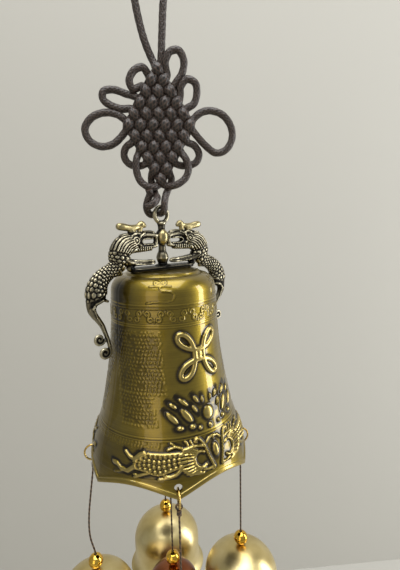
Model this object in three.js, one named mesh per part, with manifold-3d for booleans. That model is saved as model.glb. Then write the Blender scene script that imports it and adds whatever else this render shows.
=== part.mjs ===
// A hanging bell chime: a cast bell with a scalloped mouth hangs by a two-dragon handle from a knotted
// cord. Four small bells hang on jump rings round its mouth and a fifth hangs on its axis.
// Millimetres, +Z up. The origin is where a hook holds the cord's loop. The bell's relief faces -Y.
import * as THREE from "three";
import { mergeVertices } from "three/addons/utils/BufferGeometryUtils.js";
import Module from "manifold-3d";

const wasm = await Module();
wasm.setup();

const clearance = 0.3;

// Heights on the bell are counted up from the points of its rim
const hangHeight = 224;

// Big bell
const shoulderRadius = 23.9;
const flareWidth = 14.1; // how much wider the mouth is than the shoulder
const mouthRadius = shoulderRadius + flareWidth;
const shoulderHeight = 81;
const shoulderFullness = 0.85; // 1 is a quarter of an ellipse, less is flatter
const crownRise = 8.4; // from the shoulder to the top of the crown
const crownHeight = shoulderHeight + crownRise;
const crownDiscRadius = 16.8;
const shellWall = 1.5;
const lobes = 6;
const lobeRise = 4.85;
const flatShare = 0.12; // how far the flare's six sides are flattened between the rim's points
const lipHeight = 2.1;
const lipProud = 0.5;
const rimPointAngle = -30;
const scallopHeight = 23; // the rim's scallops fade out at this height

// Jump rings and the holes that they hang in
const ringRadius = 3.85;
const ringWire = 0.9;
const ringCut = 0.5;
const ringHoleRadius = 1.75;
const pointHoleHeight = 4.6;
const lobeHoleHeight = 7.6;
const pointHangInset = 1.1; // from the mouth's radius in to the ring's centre
const lobeHangInset = 1.6;

// Thin cords, beads and small bells
const threadDiameter = 0.9;
const threadDrop = 51; // from a jump ring's lowest wire to the top of the bead
const beadRadius = 3.6;
const smallRadius = 19.2;
const smallLipRadius = 22;
const smallHeight = 33;
const smallWall = 0.8;
const middleRadius = 13.2;
const middleLipRadius = 13.6;
const middleHeight = 24;
const middleBeadHeight = -60.6;
const stopKnotRadius = 1.6;
const leftBow = 4.2; // the left cord is stiff and bows outwards by this much
const leftLean = 2.1; // and its bell hangs this far outwards

// Handle, its post and the eye that the cord goes through
const handleBaseHeight = 1.6;
const handleBaseLength = 34;
const handleBaseWidth = 8;
const postBellyRise = 5.4; // over the crown, as the next rises
const postBellyHeight = crownHeight + postBellyRise;
const postBellyRadius = 2.9;
const pearlRise = 14.8;
const pearlHeight = crownHeight + pearlRise;
const pearlRadius = 2.5;
const pearlHalfHeight = 3.6;
const eyeRise = 24.8;
const eyeHeight = crownHeight + eyeRise;
const eyeRadius = 3.45;
const eyeWire = 1.9;
const dragonStandOff = 14.5; // from the bell's shoulder out to the dragon's haunch

// Bolt through the crown, with the eye that carries the middle cord
const boltRadius = 1.5;
const boltGrip = 5;
const washerRadius = 4.2;
const washerThickness = 0.8;
const collarRadius = 3;
const collarThickness = 1.2;
const boltEyeRadius = 2.6;
const boltEyeWire = 1.4;
const middleRingRadius = 2.6;

// Knotted cord
const cordDiameter = 3.2;
const knotTurn = -35; // the knot's face is turned this far from the bell's front, in degrees
const strands = 6;
const latticeStep = 2.65; // sideways distance from one crossing to the next
const latticeDrop = 4.58; // drop from one crossing to the next
const knotTop = 175.3; // height of the top crossing
const knotMiddle = 0.6; // the knot's middle line lies this far to its right
const strandLift = 1.5; // how far a strand rises over or dips under a crossing

const finishes = {
  agedBrass: { color: 0x857024, roughness: 0.3, metalness: 1 },
  darkBronze: { color: 0x3a352c, roughness: 0.38, metalness: 1 },
  steel: { color: 0xa9a69e, roughness: 0.35, metalness: 1 },
  ringBrass: { color: 0xc9a856, roughness: 0.25, metalness: 1 },
  thread: { color: 0x5c4630, roughness: 0.85, metalness: 0 },
  polishedGold: { color: 0xd9a93c, roughness: 0.12, metalness: 1 },
  paleGold: { color: 0xc8b583, roughness: 0.28, metalness: 1 },
  copper: { color: 0x8a3b22, roughness: 0.2, metalness: 1 },
  braidedCord: { color: 0x45393a, roughness: 0.7, metalness: 0 },
};

const chime = new THREE.Group();
chime.position.z = -hangHeight;

const radians = THREE.MathUtils.degToRad;
const lerp = THREE.MathUtils.lerp;
const point = (x, y, z) => new THREE.Vector3(x, y, z);

// Direction at an angle round the axis: 0 is the front (-Y) and 90 is +X
const around = (angle) => point(Math.sin(radians(angle)), -Math.cos(radians(angle)), 0);

function solid(geometry, matrix) {
  const loose = geometry.index ? geometry.toNonIndexed() : geometry;
  const bare = new THREE.BufferGeometry().setAttribute("position", loose.getAttribute("position").clone());
  if (matrix) bare.applyMatrix4(matrix);
  const merged = mergeVertices(bare, 1e-4);
  return new wasm.Manifold(
    new wasm.Mesh({
      numProp: 3,
      vertProperties: merged.attributes.position.array,
      triVerts: new Uint32Array(merged.index.array),
    }),
  );
}

function geometryOf(body) {
  const mesh = body.getMesh();
  const geometry = new THREE.BufferGeometry();
  geometry.setAttribute("position", new THREE.BufferAttribute(mesh.vertProperties, 3));
  geometry.setIndex(new THREE.BufferAttribute(mesh.triVerts, 1));
  geometry.computeVertexNormals();
  return geometry;
}

const join = (bodies) => bodies.reduce((all, body) => all.add(body));

function addMesh(name, shape, finish, parent = chime) {
  const geometry = shape.isBufferGeometry ? shape : geometryOf(shape);
  const mesh = new THREE.Mesh(geometry, new THREE.MeshStandardMaterial(finishes[finish]));
  mesh.name = name;
  parent.add(mesh);
  return mesh;
}

const moved = (x, y, z) => new THREE.Matrix4().makeTranslation(x, y, z);

// Lathe profiles here run as [radius, height] pairs and turn about Z
function lathe(profile, segments) {
  const outline = profile.map(([radius, height]) => new THREE.Vector2(radius, height));
  return new THREE.LatheGeometry(outline, segments).rotateX(Math.PI / 2);
}

// A closed tube whose radius follows a list of radii, one for each point of its path
function taperedTube(points, radii, { sides = 8, steps = 24, widthShare = 1 } = {}) {
  const path = new THREE.CatmullRomCurve3(points, false, "centripetal");
  path.arcLengthDivisions = steps * 16;
  const frames = path.computeFrenetFrames(steps, false);
  const positions = [];
  const faces = [];
  for (let step = 0; step <= steps; step++) {
    const share = path.getUtoTmapping(step / steps) * (points.length - 1);
    const before = Math.min(Math.floor(share), points.length - 2);
    const radius = lerp(radii[before], radii[before + 1], share - before);
    const centre = path.getPointAt(step / steps);
    for (let side = 0; side < sides; side++) {
      const angle = (side / sides) * 2 * Math.PI;
      const corner = centre
        .clone()
        .addScaledVector(frames.normals[step], radius * widthShare * Math.cos(angle))
        .addScaledVector(frames.binormals[step], radius * Math.sin(angle));
      positions.push(corner.x, corner.y, corner.z);
    }
  }
  for (let step = 0; step < steps; step++) {
    for (let side = 0; side < sides; side++) {
      const a = step * sides + side;
      const b = step * sides + ((side + 1) % sides);
      faces.push(a, b, b + sides, a, b + sides, a + sides);
    }
  }
  const ends = [
    { step: 0, radius: radii[0], way: -1 },
    { step: steps, radius: radii[radii.length - 1], way: 1 },
  ];
  for (const { step, radius, way } of ends) {
    const tip = path.getPointAt(step / steps).addScaledVector(frames.tangents[step], way * radius * 0.5);
    const apex = positions.length / 3;
    positions.push(tip.x, tip.y, tip.z);
    for (let side = 0; side < sides; side++) {
      const a = step * sides + side;
      const b = step * sides + ((side + 1) % sides);
      faces.push(...(way > 0 ? [a, b, apex] : [b, a, apex]));
    }
  }
  const geometry = new THREE.BufferGeometry();
  geometry.setAttribute("position", new THREE.Float32BufferAttribute(positions, 3));
  geometry.setIndex(faces);
  return geometry;
}

// A wire ring in the XZ plane about the origin, with the cut that lets it be opened
function jumpRing(radius, wire) {
  const cut = ringCut / radius;
  const turns = 14;
  const points = [];
  for (let k = 0; k <= turns; k++) {
    const angle = cut / 2 + (k / turns) * (2 * Math.PI - cut) + Math.PI / 3;
    points.push(point(radius * Math.cos(angle), 0, radius * Math.sin(angle)));
  }
  const radii = points.map(() => wire / 2);
  return taperedTube(points, radii, { sides: 5, steps: turns });
}

// Big bell: its side runs from the shoulder to the mouth, as [share of the height, share of the flare]
const sideShape = [
  [1, 0],
  [0.765, 0.064],
  [0.58, 0.191],
  [0.346, 0.468],
  [0.14, 0.844],
  [0.037, 0.965],
  [0, 1],
];
const sideCurve = new THREE.SplineCurve(
  sideShape.map(([up, out]) => new THREE.Vector2(up * shoulderHeight, lerp(shoulderRadius, mouthRadius, out))),
);
const sidePoints = sideCurve.getPoints(120);

function sideRadius(height) {
  const above = sidePoints.findIndex((p) => p.x <= height);
  if (above < 1) return height >= shoulderHeight ? shoulderRadius : mouthRadius;
  const [upper, lower] = [sidePoints[above - 1], sidePoints[above]];
  return lerp(lower.y, upper.y, (height - lower.x) / (upper.x - lower.x));
}

// Angle from the middle of the nearest flat side, from -30 to 30 degrees
function fromFlat(angle) {
  const width = 360 / lobes;
  const turned = (((angle - rimPointAngle) % width) + width) % width;
  return turned - width / 2;
}

function flareShape(angle, height) {
  const half = 180 / lobes;
  const depth = flatShare * THREE.MathUtils.smoothstep(shoulderHeight * 0.6 - height, 0, shoulderHeight * 0.6);
  return 1 - depth * (1 - Math.cos(radians(half)) / Math.cos(radians(fromFlat(angle))));
}

const rimHeight = (angle) => lobeRise * Math.cos((radians(fromFlat(angle)) * lobes) / 2);
const rimAngles = [];
for (let k = 0; k < lobes; k++) rimAngles.push(rimPointAngle + (360 / lobes) * k);

function bellShell() {
  const columns = 48;
  const boltHole = boltRadius + clearance;
  const underCrown = crownHeight - shellWall;
  const lipTop = lobeRise + lipHeight;
  const crownEdge = crownDiscRadius + 1.5;
  const crownDrop = 1.3;
  const shoulder = [68, 43, 22].map((degrees) => {
    const turn = radians(degrees);
    const rise = shoulderFullness * Math.sin(turn) + (1 - shoulderFullness) * (1 - Math.cos(turn));
    return [
      lerp(crownEdge, shoulderRadius, Math.cos(turn)),
      lerp(shoulderHeight, crownHeight - crownDrop, rise),
    ];
  });
  // Rows run from the bolt's hole over the crown, down the outside, round the lip and up the inside.
  // share says how far a row follows the scallops of the rim, and proud moves it out or in.
  const crown = [
    [boltHole, crownHeight],
    [crownDiscRadius - 0.2, crownHeight - 0.5],
    [crownDiscRadius + 0.1, crownHeight - 1.2],
    [crownDiscRadius + 0.8, crownHeight - 1.2],
    [crownEdge, crownHeight - crownDrop],
    ...shoulder,
  ].map(([radius, height]) => ({ radius, height, share: 0, proud: 0 }));
  const sideHeight = (share) => lerp(scallopHeight, shoulderHeight, share);
  const outerShares = [0.98, 0.78, 0.59, 0.41, 0.26, 0.12, 0];
  const innerShares = [0, 0.26, 0.59, 1];
  const lowRow = lerp(lipTop, scallopHeight, 0.25);
  const side = outerShares.map((share) => ({ height: sideHeight(share), share: 0, proud: 0 }));
  const flare = [
    { height: lerp(lipTop, scallopHeight, 0.53), share: 0.35, proud: 0 },
    { height: lowRow, share: 0.75, proud: 0 },
    { height: lipTop + 0.4, share: 1, proud: 0 },
    { height: lipTop, share: 1, proud: lipProud },
    { height: lobeRise, share: 1, proud: lipProud },
    { height: lobeRise, share: 1, proud: -shellWall },
    { height: lipTop, share: 1, proud: -shellWall },
    { height: lowRow, share: 0.75, proud: -shellWall },
  ];
  const inside = innerShares.map((share) => ({ height: sideHeight(share), share: 0, proud: -shellWall }));
  const underside = [
    { radius: lerp(crownDiscRadius, shoulderRadius - shellWall, 0.66), height: underCrown - 1.6, share: 0, proud: 0 },
    { radius: crownDiscRadius, height: underCrown, share: 0, proud: 0 },
    { radius: boltHole, height: underCrown, share: 0, proud: 0 },
  ];
  const rows = [...crown, ...side, ...flare, ...inside, ...underside];
  const positions = [];
  const faces = [];
  for (const row of rows) {
    for (let column = 0; column < columns; column++) {
      const angle = (column / columns) * 360;
      const height = row.height - row.share * (lobeRise - rimHeight(angle));
      const radius = row.radius ?? sideRadius(height) * flareShape(angle, height) + row.proud;
      const place = around(angle).multiplyScalar(radius);
      positions.push(place.x, place.y, height);
    }
  }
  rows.forEach((row, k) => {
    const next = (k + 1) % rows.length;
    for (let column = 0; column < columns; column++) {
      const beside = (column + 1) % columns;
      const [a, b] = [k * columns + column, k * columns + beside];
      const [c, d] = [next * columns + column, next * columns + beside];
      faces.push(a, c, d, a, d, b);
    }
  });
  const geometry = new THREE.BufferGeometry();
  geometry.setAttribute("position", new THREE.Float32BufferAttribute(positions, 3));
  geometry.setIndex(faces);
  let shell = solid(geometry);
  for (const hanger of hangers) {
    const drill = new THREE.CylinderGeometry(ringHoleRadius, ringHoleRadius, 12, 16);
    const turn = new THREE.Matrix4().makeRotationZ(radians(hanger.angle));
    const place = around(hanger.angle).multiplyScalar(mouthRadius - shellWall);
    turn.premultiply(moved(place.x, place.y, hanger.holeHeight));
    shell = shell.subtract(solid(drill, turn));
  }
  return shell;
}

// Four hangers: two at points of the rim and two in the lobes between
const hangers = ["front", "right", "back", "left"].map((name, k) => {
  const atPoint = k % 2 === 0;
  const holeHeight = atPoint ? pointHoleHeight : lobeHoleHeight;
  const hangRadius = mouthRadius - (atPoint ? pointHangInset : lobeHangInset);
  const angle = rimPointAngle + 90 * k;
  // The ring clears the lower edge of its hole on both faces of the wall
  const holeBottom = holeHeight - ringHoleRadius;
  const wallMiddle = sideRadius(holeBottom) * flareShape(angle, holeBottom) + (lipProud - shellWall) / 2;
  const reach = (shellWall + lipProud) / 2 + Math.abs(hangRadius - wallMiddle);
  const inner = ringRadius - ringWire / 2 - clearance;
  const ringHeight = holeBottom - Math.sqrt(inner * inner - reach * reach);
  return { name, angle, holeHeight, hangRadius, ringHeight };
});

// Handle: one casting with two dragons that face a pearl on a turned post.
// Each rod of a dragon is drawn beside its base plate as [distance from the axis, height over the
// plate, half width], flat is its thickness as a share of its width, and all are made to dragonReach.
const handleBaseTop = crownHeight + clearance + handleBaseHeight;
const dragonReach = shoulderRadius + dragonStandOff;
const dragonRods = [
  {
    // Neck, chest, waist and haunch
    flat: 0.62,
    sides: 9,
    steps: 11,
    path: [
      [19.8, 10.6, 4.6],
      [21.9, 7.3, 4.8],
      [22.4, 4.9, 4.7],
      [23.4, 2.3, 4],
      [26, 0.3, 3.1],
      [29.2, -1.5, 3.4],
      [31.8, -3.9, 3.95],
      [33.2, -6.7, 4.55],
      [33.7, -9.5, 4.7],
      [33.4, -10.9, 4.2],
    ],
  },
  {
    // Skull
    flat: 0.62,
    sides: 8,
    steps: 3,
    path: [
      [19.6, 10.9, 4.4],
      [16, 11.5, 4.1],
      [13, 11.9, 3],
      [11.6, 12.1, 2],
    ],
  },
  {
    // Upper lip, which reaches the pearl
    flat: 1.25,
    sides: 6,
    steps: 4,
    path: [
      [13, 13.7, 1.7],
      [10, 14.3, 1.4],
      [7, 14.2, 1.3],
      [3.2, 13.6, 1.3],
    ],
  },
  {
    // Nose
    flat: 1.3,
    sides: 4,
    steps: 2,
    path: [
      [9.4, 15.3, 0.9],
      [7, 15.5, 0.8],
      [5, 15, 1],
    ],
  },
  {
    // Lower lip
    flat: 1.4,
    sides: 6,
    steps: 4,
    path: [
      [12.6, 9.9, 1.6],
      [10, 9, 1.2],
      [7.4, 8.8, 1.1],
      [3.6, 9.5, 1.1],
    ],
  },
  {
    // Front teeth
    flat: 1.4,
    sides: 4,
    steps: 2,
    path: [
      [4.2, 13.9, 1.2],
      [3.4, 11.7, 0.9],
      [3.9, 9.7, 1.1],
    ],
  },
  {
    // Rim of the open mouth
    flat: 3.4,
    sides: 4,
    steps: 5,
    path: [
      [5.6, 12.6, 0.5],
      [9.2, 12.6, 0.5],
      [11.3, 11.3, 0.5],
      [9.2, 10.1, 0.5],
      [5.6, 10.1, 0.5],
    ],
  },
  {
    // Beard
    flat: 1.5,
    sides: 6,
    steps: 3,
    path: [
      [18, 8.1, 1.6],
      [12.5, 8, 1.2],
      [6.4, 8.1, 0.9],
    ],
  },
  {
    // Horn, one bar along the top of the head
    flat: 1,
    sides: 5,
    steps: 6,
    path: [
      [9.2, 18.1, 1],
      [10.5, 18.9, 1.35],
      [12.1, 18, 1.1],
      [14, 17.2, 1.25],
      [17, 17.2, 1.3],
      [19.8, 17.9, 1.5],
      [21.4, 18, 1.45],
    ],
  },
  {
    flat: 1.1,
    sides: 6,
    steps: 2,
    path: [
      [15, 14.5, 2],
      [16, 16.3, 1.6],
      [16.6, 17.3, 1.1],
    ],
  },
  {
    flat: 1.1,
    sides: 5,
    steps: 2,
    path: [
      [12.2, 14.2, 1.5],
      [11.2, 16.7, 1],
      [10.8, 18.3, 1],
    ],
  },
  {
    // Fore leg, which reaches along the plate
    flat: 1.15,
    sides: 6,
    steps: 4,
    path: [
      [20, 4.1, 2.6],
      [17.2, 2.7, 1.9],
      [13, 2.3, 1.45],
      [9, 2.1, 1.25],
      [6.2, 2.1, 1.3],
      [4.8, 2, 0.9],
    ],
  },
  {
    // Elbow, which stands on the plate
    flat: 1,
    sides: 6,
    steps: 2,
    path: [
      [17.4, 1.9, 1.8],
      [17.2, 0.3, 1.7],
      [15.6, -0.7, 1.3],
    ],
  },
  {
    // Hind leg, over the bell's shoulder
    flat: 0.9,
    sides: 6,
    steps: 3,
    path: [
      [25.4, -0.7, 2],
      [23.4, -1.2, 1.5],
      [22, -1.6, 1.1],
    ],
  },
  {
    // Root of the tail
    flat: 0.8,
    sides: 8,
    steps: 2,
    path: [
      [34.6, -9.8, 3.7],
      [36.3, -12.7, 2.1],
      [36.3, -14.9, 1.8],
    ],
  },
  {
    // Tail, from the spur beside the haunch
    flat: 0.95,
    sides: 5,
    steps: 13,
    path: [
      [28.7, -12.6, 0.5],
      [30, -11.9, 0.75],
      [31.8, -11.8, 0.95],
      [33.6, -12.3, 1.3],
      [35.3, -13.4, 1.7],
      [36.1, -14.9, 1.9],
      [35.3, -17.2, 1.6],
      [33.3, -20.2, 1.3],
      [31.7, -22.9, 1.15],
      [30.7, -25.7, 1],
      [29.7, -28.7, 0.95],
      [29, -31.7, 0.9],
      [28.65, -34.2, 0.8],
    ],
  },
];
// The tail ends in two curls, wound inwards by these turns from their outer radius; root is on the tail
const tailCurls = [
  { root: [29.8, -28], centre: [33.4, -28.2], start: 205, turns: 1.3, outer: 2.5, inner: 0.5, wire: 0.75, sides: 4 },
  { root: [28.8, -33], centre: [31.2, -34.5], start: 176, turns: 1.45, outer: 2.55, inner: 0.5, wire: 0.8, sides: 4 },
];

const drawnReach = Math.max(
  ...dragonRods.flatMap(({ path }) => path.map(([distance, , halfWidth]) => distance + halfWidth)),
);

function dragonRod({ path, flat, sides, steps }) {
  const scale = dragonReach / drawnReach;
  const points = path.map(([distance, height]) => point(distance * scale, 0, handleBaseTop + height * scale));
  const radii = path.map((station) => station[2] * scale);
  return solid(taperedTube(points, radii, { sides, steps, widthShare: flat }));
}

const curlSteps = (turns) => Math.round(turns * 7);

function curlPath({ root, centre, start, turns, outer, inner, wire }) {
  const count = curlSteps(turns);
  const path = [[...root, wire]];
  for (let k = 0; k <= count; k++) {
    const angle = radians(start + (k / count) * turns * 360);
    const radius = lerp(outer, inner, k / count);
    path.push([centre[0] + radius * Math.cos(angle), centre[1] + radius * Math.sin(angle), wire]);
  }
  return path;
}

function dragon() {
  const curls = tailCurls.map((curl) =>
    dragonRod({ path: curlPath(curl), flat: 1, sides: curl.sides, steps: curlSteps(curl.turns) }),
  );
  return join([...dragonRods.map(dragonRod), ...curls]);
}

function handle() {
  const base = crownHeight + clearance;
  const baseTop = handleBaseTop;
  const neck = 1.5;
  const eyeFoot = eyeHeight - eyeRadius;
  const post = [
    [0, base],
    [3.4, base],
    [3.4, baseTop + 0.4],
    [1.9, baseTop + 0.9],
    [postBellyRadius, postBellyHeight],
    [1.9, postBellyHeight + 3],
    [neck, pearlHeight - pearlHalfHeight],
    [pearlRadius * 0.85, pearlHeight - pearlHalfHeight * 0.55],
    [pearlRadius, pearlHeight],
    [pearlRadius * 0.85, pearlHeight + pearlHalfHeight * 0.55],
    [neck, pearlHeight + pearlHalfHeight],
    [neck, eyeFoot],
    [0, eyeFoot + eyeWire / 2],
  ];
  const halfLength = (handleBaseLength - handleBaseWidth) / 2;
  const plate = new THREE.Shape();
  plate.absarc(halfLength, 0, handleBaseWidth / 2, -Math.PI / 2, Math.PI / 2);
  plate.absarc(-halfLength, 0, handleBaseWidth / 2, Math.PI / 2, (3 * Math.PI) / 2);
  const plateSolid = new THREE.ExtrudeGeometry(plate, {
    depth: handleBaseHeight,
    bevelEnabled: false,
    curveSegments: 6,
  });
  const eye = new THREE.TorusGeometry(eyeRadius, eyeWire / 2, 6, 16).rotateX(Math.PI / 2);
  const rightDragon = dragon();
  const whole = join([
    solid(lathe(post, 12)),
    solid(plateSolid, moved(0, 0, base)),
    solid(eye, moved(0, 0, eyeHeight)),
    rightDragon,
    rightDragon.mirror([1, 0, 0]),
  ]);
  const boltHole = boltRadius + clearance;
  const depth = boltGrip + clearance;
  const drill = new THREE.CylinderGeometry(boltHole, boltHole, 2 * depth, 14).rotateX(Math.PI / 2);
  return whole.subtract(solid(drill, moved(0, 0, base)));
}

// Bolt, washer and the small ring under the crown
const underCrown = crownHeight - shellWall;
const washerTop = underCrown - clearance;
const collarTop = washerTop - washerThickness - clearance;
const boltEyeHeight = collarTop - collarThickness - boltEyeRadius - boltEyeWire / 2 + 0.2;
const boltEyeBottom = boltEyeHeight - boltEyeRadius;
const middleRingHeight = boltEyeBottom + boltEyeWire / 2 + clearance + ringWire / 2 - middleRingRadius;
const middleWireHeight = middleRingHeight - middleRingRadius;

function fixingBolt() {
  const profile = [
    [0, collarTop - collarThickness - 0.8],
    [1.4, collarTop - collarThickness - 0.8],
    [collarRadius, collarTop - collarThickness],
    [collarRadius, collarTop],
    [boltRadius, collarTop],
    [boltRadius, crownHeight + clearance + boltGrip - 0.6],
    [boltRadius - 0.5, crownHeight + clearance + boltGrip],
    [0, crownHeight + clearance + boltGrip],
  ];
  const eye = new THREE.TorusGeometry(boltEyeRadius, boltEyeWire / 2, 6, 12).rotateX(Math.PI / 2);
  return solid(lathe(profile, 14)).add(solid(eye, moved(0, 0, boltEyeHeight)));
}

function washer() {
  const inner = boltRadius + clearance;
  const profile = [
    [inner, washerTop - washerThickness],
    [washerRadius, washerTop - washerThickness],
    [washerRadius, washerTop],
    [inner, washerTop],
    [inner, washerTop - washerThickness],
  ];
  return lathe(profile, 16);
}

// A thin cord from the ring wire at height 0 down to the stop knot that holds its bell. A stiff one
// bows outwards and ends beside its start: route gives its [outwards, share of the length] on the way.
const straightRoute = [
  [0, 0],
  [0, 1],
];
const bowedRoute = [
  [0, 0],
  [leftBow * 0.24, 0.14],
  [leftBow * 0.58, 0.3],
  [leftBow * 0.9, 0.47],
  [leftBow, 0.6],
  [lerp(leftLean, leftBow, 0.82), 0.69],
  [lerp(leftLean, leftBow, 0.3), 0.77],
  [leftLean, 0.822],
  [leftLean, 0.9],
  [leftLean, 1],
];

function thread(length, route) {
  const half = threadDiameter / 2;
  const loopRadius = ringWire / 2 + clearance + half;
  const hitch = 1.1;
  const section = new THREE.Shape().absarc(0, 0, half, 0, 2 * Math.PI);
  const places = route.map(([out, share]) => point(0, -out, -Math.max(loopRadius, share * length)));
  const run = new THREE.ExtrudeGeometry(section, {
    steps: route.length > 2 ? 10 : 1,
    curveSegments: 4,
    bevelEnabled: false,
    extrudePath: new THREE.CatmullRomCurve3(places, false, "centripetal"),
  });
  const lean = route[route.length - 1][0];
  const loop = new THREE.TorusGeometry(loopRadius, half, 5, 10);
  const hitchKnot = new THREE.SphereGeometry(hitch, 6, 4);
  const stopKnot = new THREE.SphereGeometry(stopKnotRadius, 8, 5);
  return join([
    solid(run),
    solid(loop, new THREE.Matrix4().makeRotationX(Math.PI / 2)),
    solid(hitchKnot, moved(0, 0, -loopRadius - half)),
    solid(stopKnot, moved(0, -lean, -length)),
  ]);
}

function bead() {
  const hole = threadDiameter / 2 + clearance;
  const end = Math.sqrt(beadRadius * beadRadius - hole * hole);
  const bands = 6;
  const start = Math.asin(end / beadRadius);
  const profile = [];
  for (let k = 0; k <= bands; k++) {
    const angle = lerp(-start, start, k / bands);
    profile.push([beadRadius * Math.cos(angle), beadRadius * Math.sin(angle)]);
  }
  profile.push(profile[0]);
  return lathe(profile, 12);
}

// A small bell with its top at height 0: a dome, a straight waist and a mouth that flares to its lip
function smallBell({ radius, lipRadius, height }) {
  const hole = threadDiameter / 2 + clearance;
  const domeHeight = height * 0.5;
  const bands = 4;
  const flare = lipRadius - radius;
  const wallOf = (offset) => {
    const dome = [];
    for (let k = 1; k <= bands; k++) {
      const angle = (k / bands) * (Math.PI / 2);
      const drop = offset + (domeHeight - offset) * (1 - Math.cos(angle));
      dome.push([(radius - offset) * Math.sin(angle), -drop]);
    }
    return [
      [hole, -offset],
      ...dome,
      [radius - offset, -height * 0.7],
      [radius + flare * 0.35 - offset, -height * 0.86],
      [lipRadius - offset, -height],
    ];
  };
  const outside = wallOf(0).reverse();
  const inside = wallOf(smallWall);
  return lathe([...outside, ...inside, outside[0]], 16);
}

function addPendant(name, parent, { length, angle, bell, finish, route = straightRoute }) {
  const group = new THREE.Group();
  group.rotation.z = radians(angle);
  parent.add(group);
  const beadTop = length;
  const bellTop = beadTop + 2 * beadRadius + clearance;
  const stop = bellTop + smallWall + clearance + stopKnotRadius;
  const lean = route[route.length - 1][0];
  addMesh("thread_" + name, thread(stop, route), "thread", group);
  addMesh("bead_" + name, bead(), "polishedGold", group).position.set(0, -lean, -beadTop - beadRadius);
  addMesh("small_bell_" + name, smallBell(bell), finish, group).position.set(0, -lean, -bellTop);
  return group;
}

// Knotted cord: six strands fall to the right and six to the left, over and under each other.
// A place in the knot is (across, height, towards the viewer), and strand ends lie half a step outside.
const knotPlace = (across, height, out = 0) => {
  const angle = radians(knotTurn);
  return point(
    across * Math.cos(angle) + out * Math.sin(angle),
    across * Math.sin(angle) - out * Math.cos(angle),
    height,
  );
};
const crossing = (falling, rising, out = 0) =>
  knotPlace(knotMiddle + (rising - falling) * latticeStep, knotTop - (rising + falling) * latticeDrop, out);

// Points of one strand: falling strands run from upper left to lower right, rising ones from upper right
function strand(kind, number) {
  const points = [];
  for (let k = -0.5; k <= strands - 0.5; k += 0.5) {
    const onCrossing = Number.isInteger(k);
    const sign = ((k + number) % 2 === 0) === (kind === "falling") ? 1 : -1;
    const out = onCrossing ? sign * strandLift : 0;
    points.push(kind === "falling" ? crossing(number, k, out) : crossing(k, number, out));
  }
  return points;
}

const ear = (...places) => places.map((place) => knotPlace(...place));
const ears = {
  topLeft: ear([-5.6, 175.6, 1.2], [-9.2, 174.2, 1.6], [-11.4, 170.2, 1.6], [-10, 167, 1.2]),
  upperLeft: ear([-13, 165.6, -1.2], [-18.4, 167.2, -0.8], [-22.6, 166.2, 0], [-22.8, 163, 0], [-19, 160.3, 0], [-15, 159.2, 0]),
  left: ear([-18, 157.2], [-23.3, 157.6], [-28.4, 155.4], [-31.2, 151], [-29.6, 146.3], [-25, 143.8], [-19.5, 144.8]),
  lowerLeft: ear([-14.2, 143.4, -0.6], [-15.2, 140, -1], [-13.6, 136.9, -1.4], [-10, 135.6, -1.8]),
  bottomLeft: ear([-9.8, 138, 1.2], [-10, 133.5, 1.4], [-8.4, 128.8, 1.6], [-4.6, 126.2, 1.8]),
  topRight: ear([4, 177.6, 0.8], [6, 181.8, 1.2], [9.6, 182.6, 1], [11.8, 179, 0.8], [11.2, 174, 0.4]),
  upperRight: ear([10.4, 168.4, 0.6], [13.2, 171.2, 0.8], [16.6, 169.6, 0.8], [17.2, 165.4, 0.4], [15.8, 161.4, 0]),
  right: ear([18.6, 157.6], [23, 158.6], [28.6, 156.7], [32.2, 151.6], [32.4, 146.4], [29.6, 142], [25.2, 140.8], [20.4, 144.2]),
  lowerRight: ear([15.8, 144, -0.6], [17.8, 140.4, -1], [16.4, 137, -1.4], [12, 135.6, -1.8]),
  bottomRight: ear([11.6, 138.4, 1.2], [12.8, 134, 1.4], [11.2, 129.8, 1.6], [6.4, 126.8, 1.8]),
};
const hangingLoop = ear(
  [3, 189],
  [4.2, 203],
  [6.8, 214],
  [6, 221.5],
  [0, hangHeight + cordDiameter / 2],
  [-6.2, 221.5],
  [-8.8, 213],
  [-7.8, 202],
  [-4.6, 187],
);

// The tail from the right goes through the eye from the front and comes back up on the left
const threadedHeight = eyeHeight + eyeRadius - eyeWire / 2 - clearance - cordDiameter / 2;
const besideEye = eyeWire / 2 + clearance + cordDiameter / 2;
const rightTail = [
  knotPlace(5.2, 129.4, -1.4),
  knotPlace(3.9, 126, -1.6),
  knotPlace(2.4, 122.6, 0.4),
  point(0, -besideEye - 0.1, threadedHeight + 4.4),
  point(0, -besideEye * 0.82, threadedHeight + 1.2),
  point(0, 0, threadedHeight),
  point(0, besideEye * 0.9, threadedHeight + 0.2),
  point(-2.2, besideEye + 1.6, threadedHeight - 0.6),
  point(-4.6, besideEye + 1.4, threadedHeight + 1.6),
  point(-5.4, besideEye - 0.2, threadedHeight + 5),
  point(-4.6, besideEye - 1.4, threadedHeight + 8.4),
  point(-5.6, besideEye - 2.2, threadedHeight + 10.6),
];
const leftTail = [
  knotPlace(-3.8, 129.4, -1.4),
  knotPlace(-3.0, 126.4, -1.6),
  knotPlace(-2.2, 123.4, -0.8),
  point(-2.6, -1.2, threadedHeight + 6.4),
  point(-5.4, -1.8, threadedHeight + 4),
  point(-7.4, 0.4, threadedHeight + 2.6),
];

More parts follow.
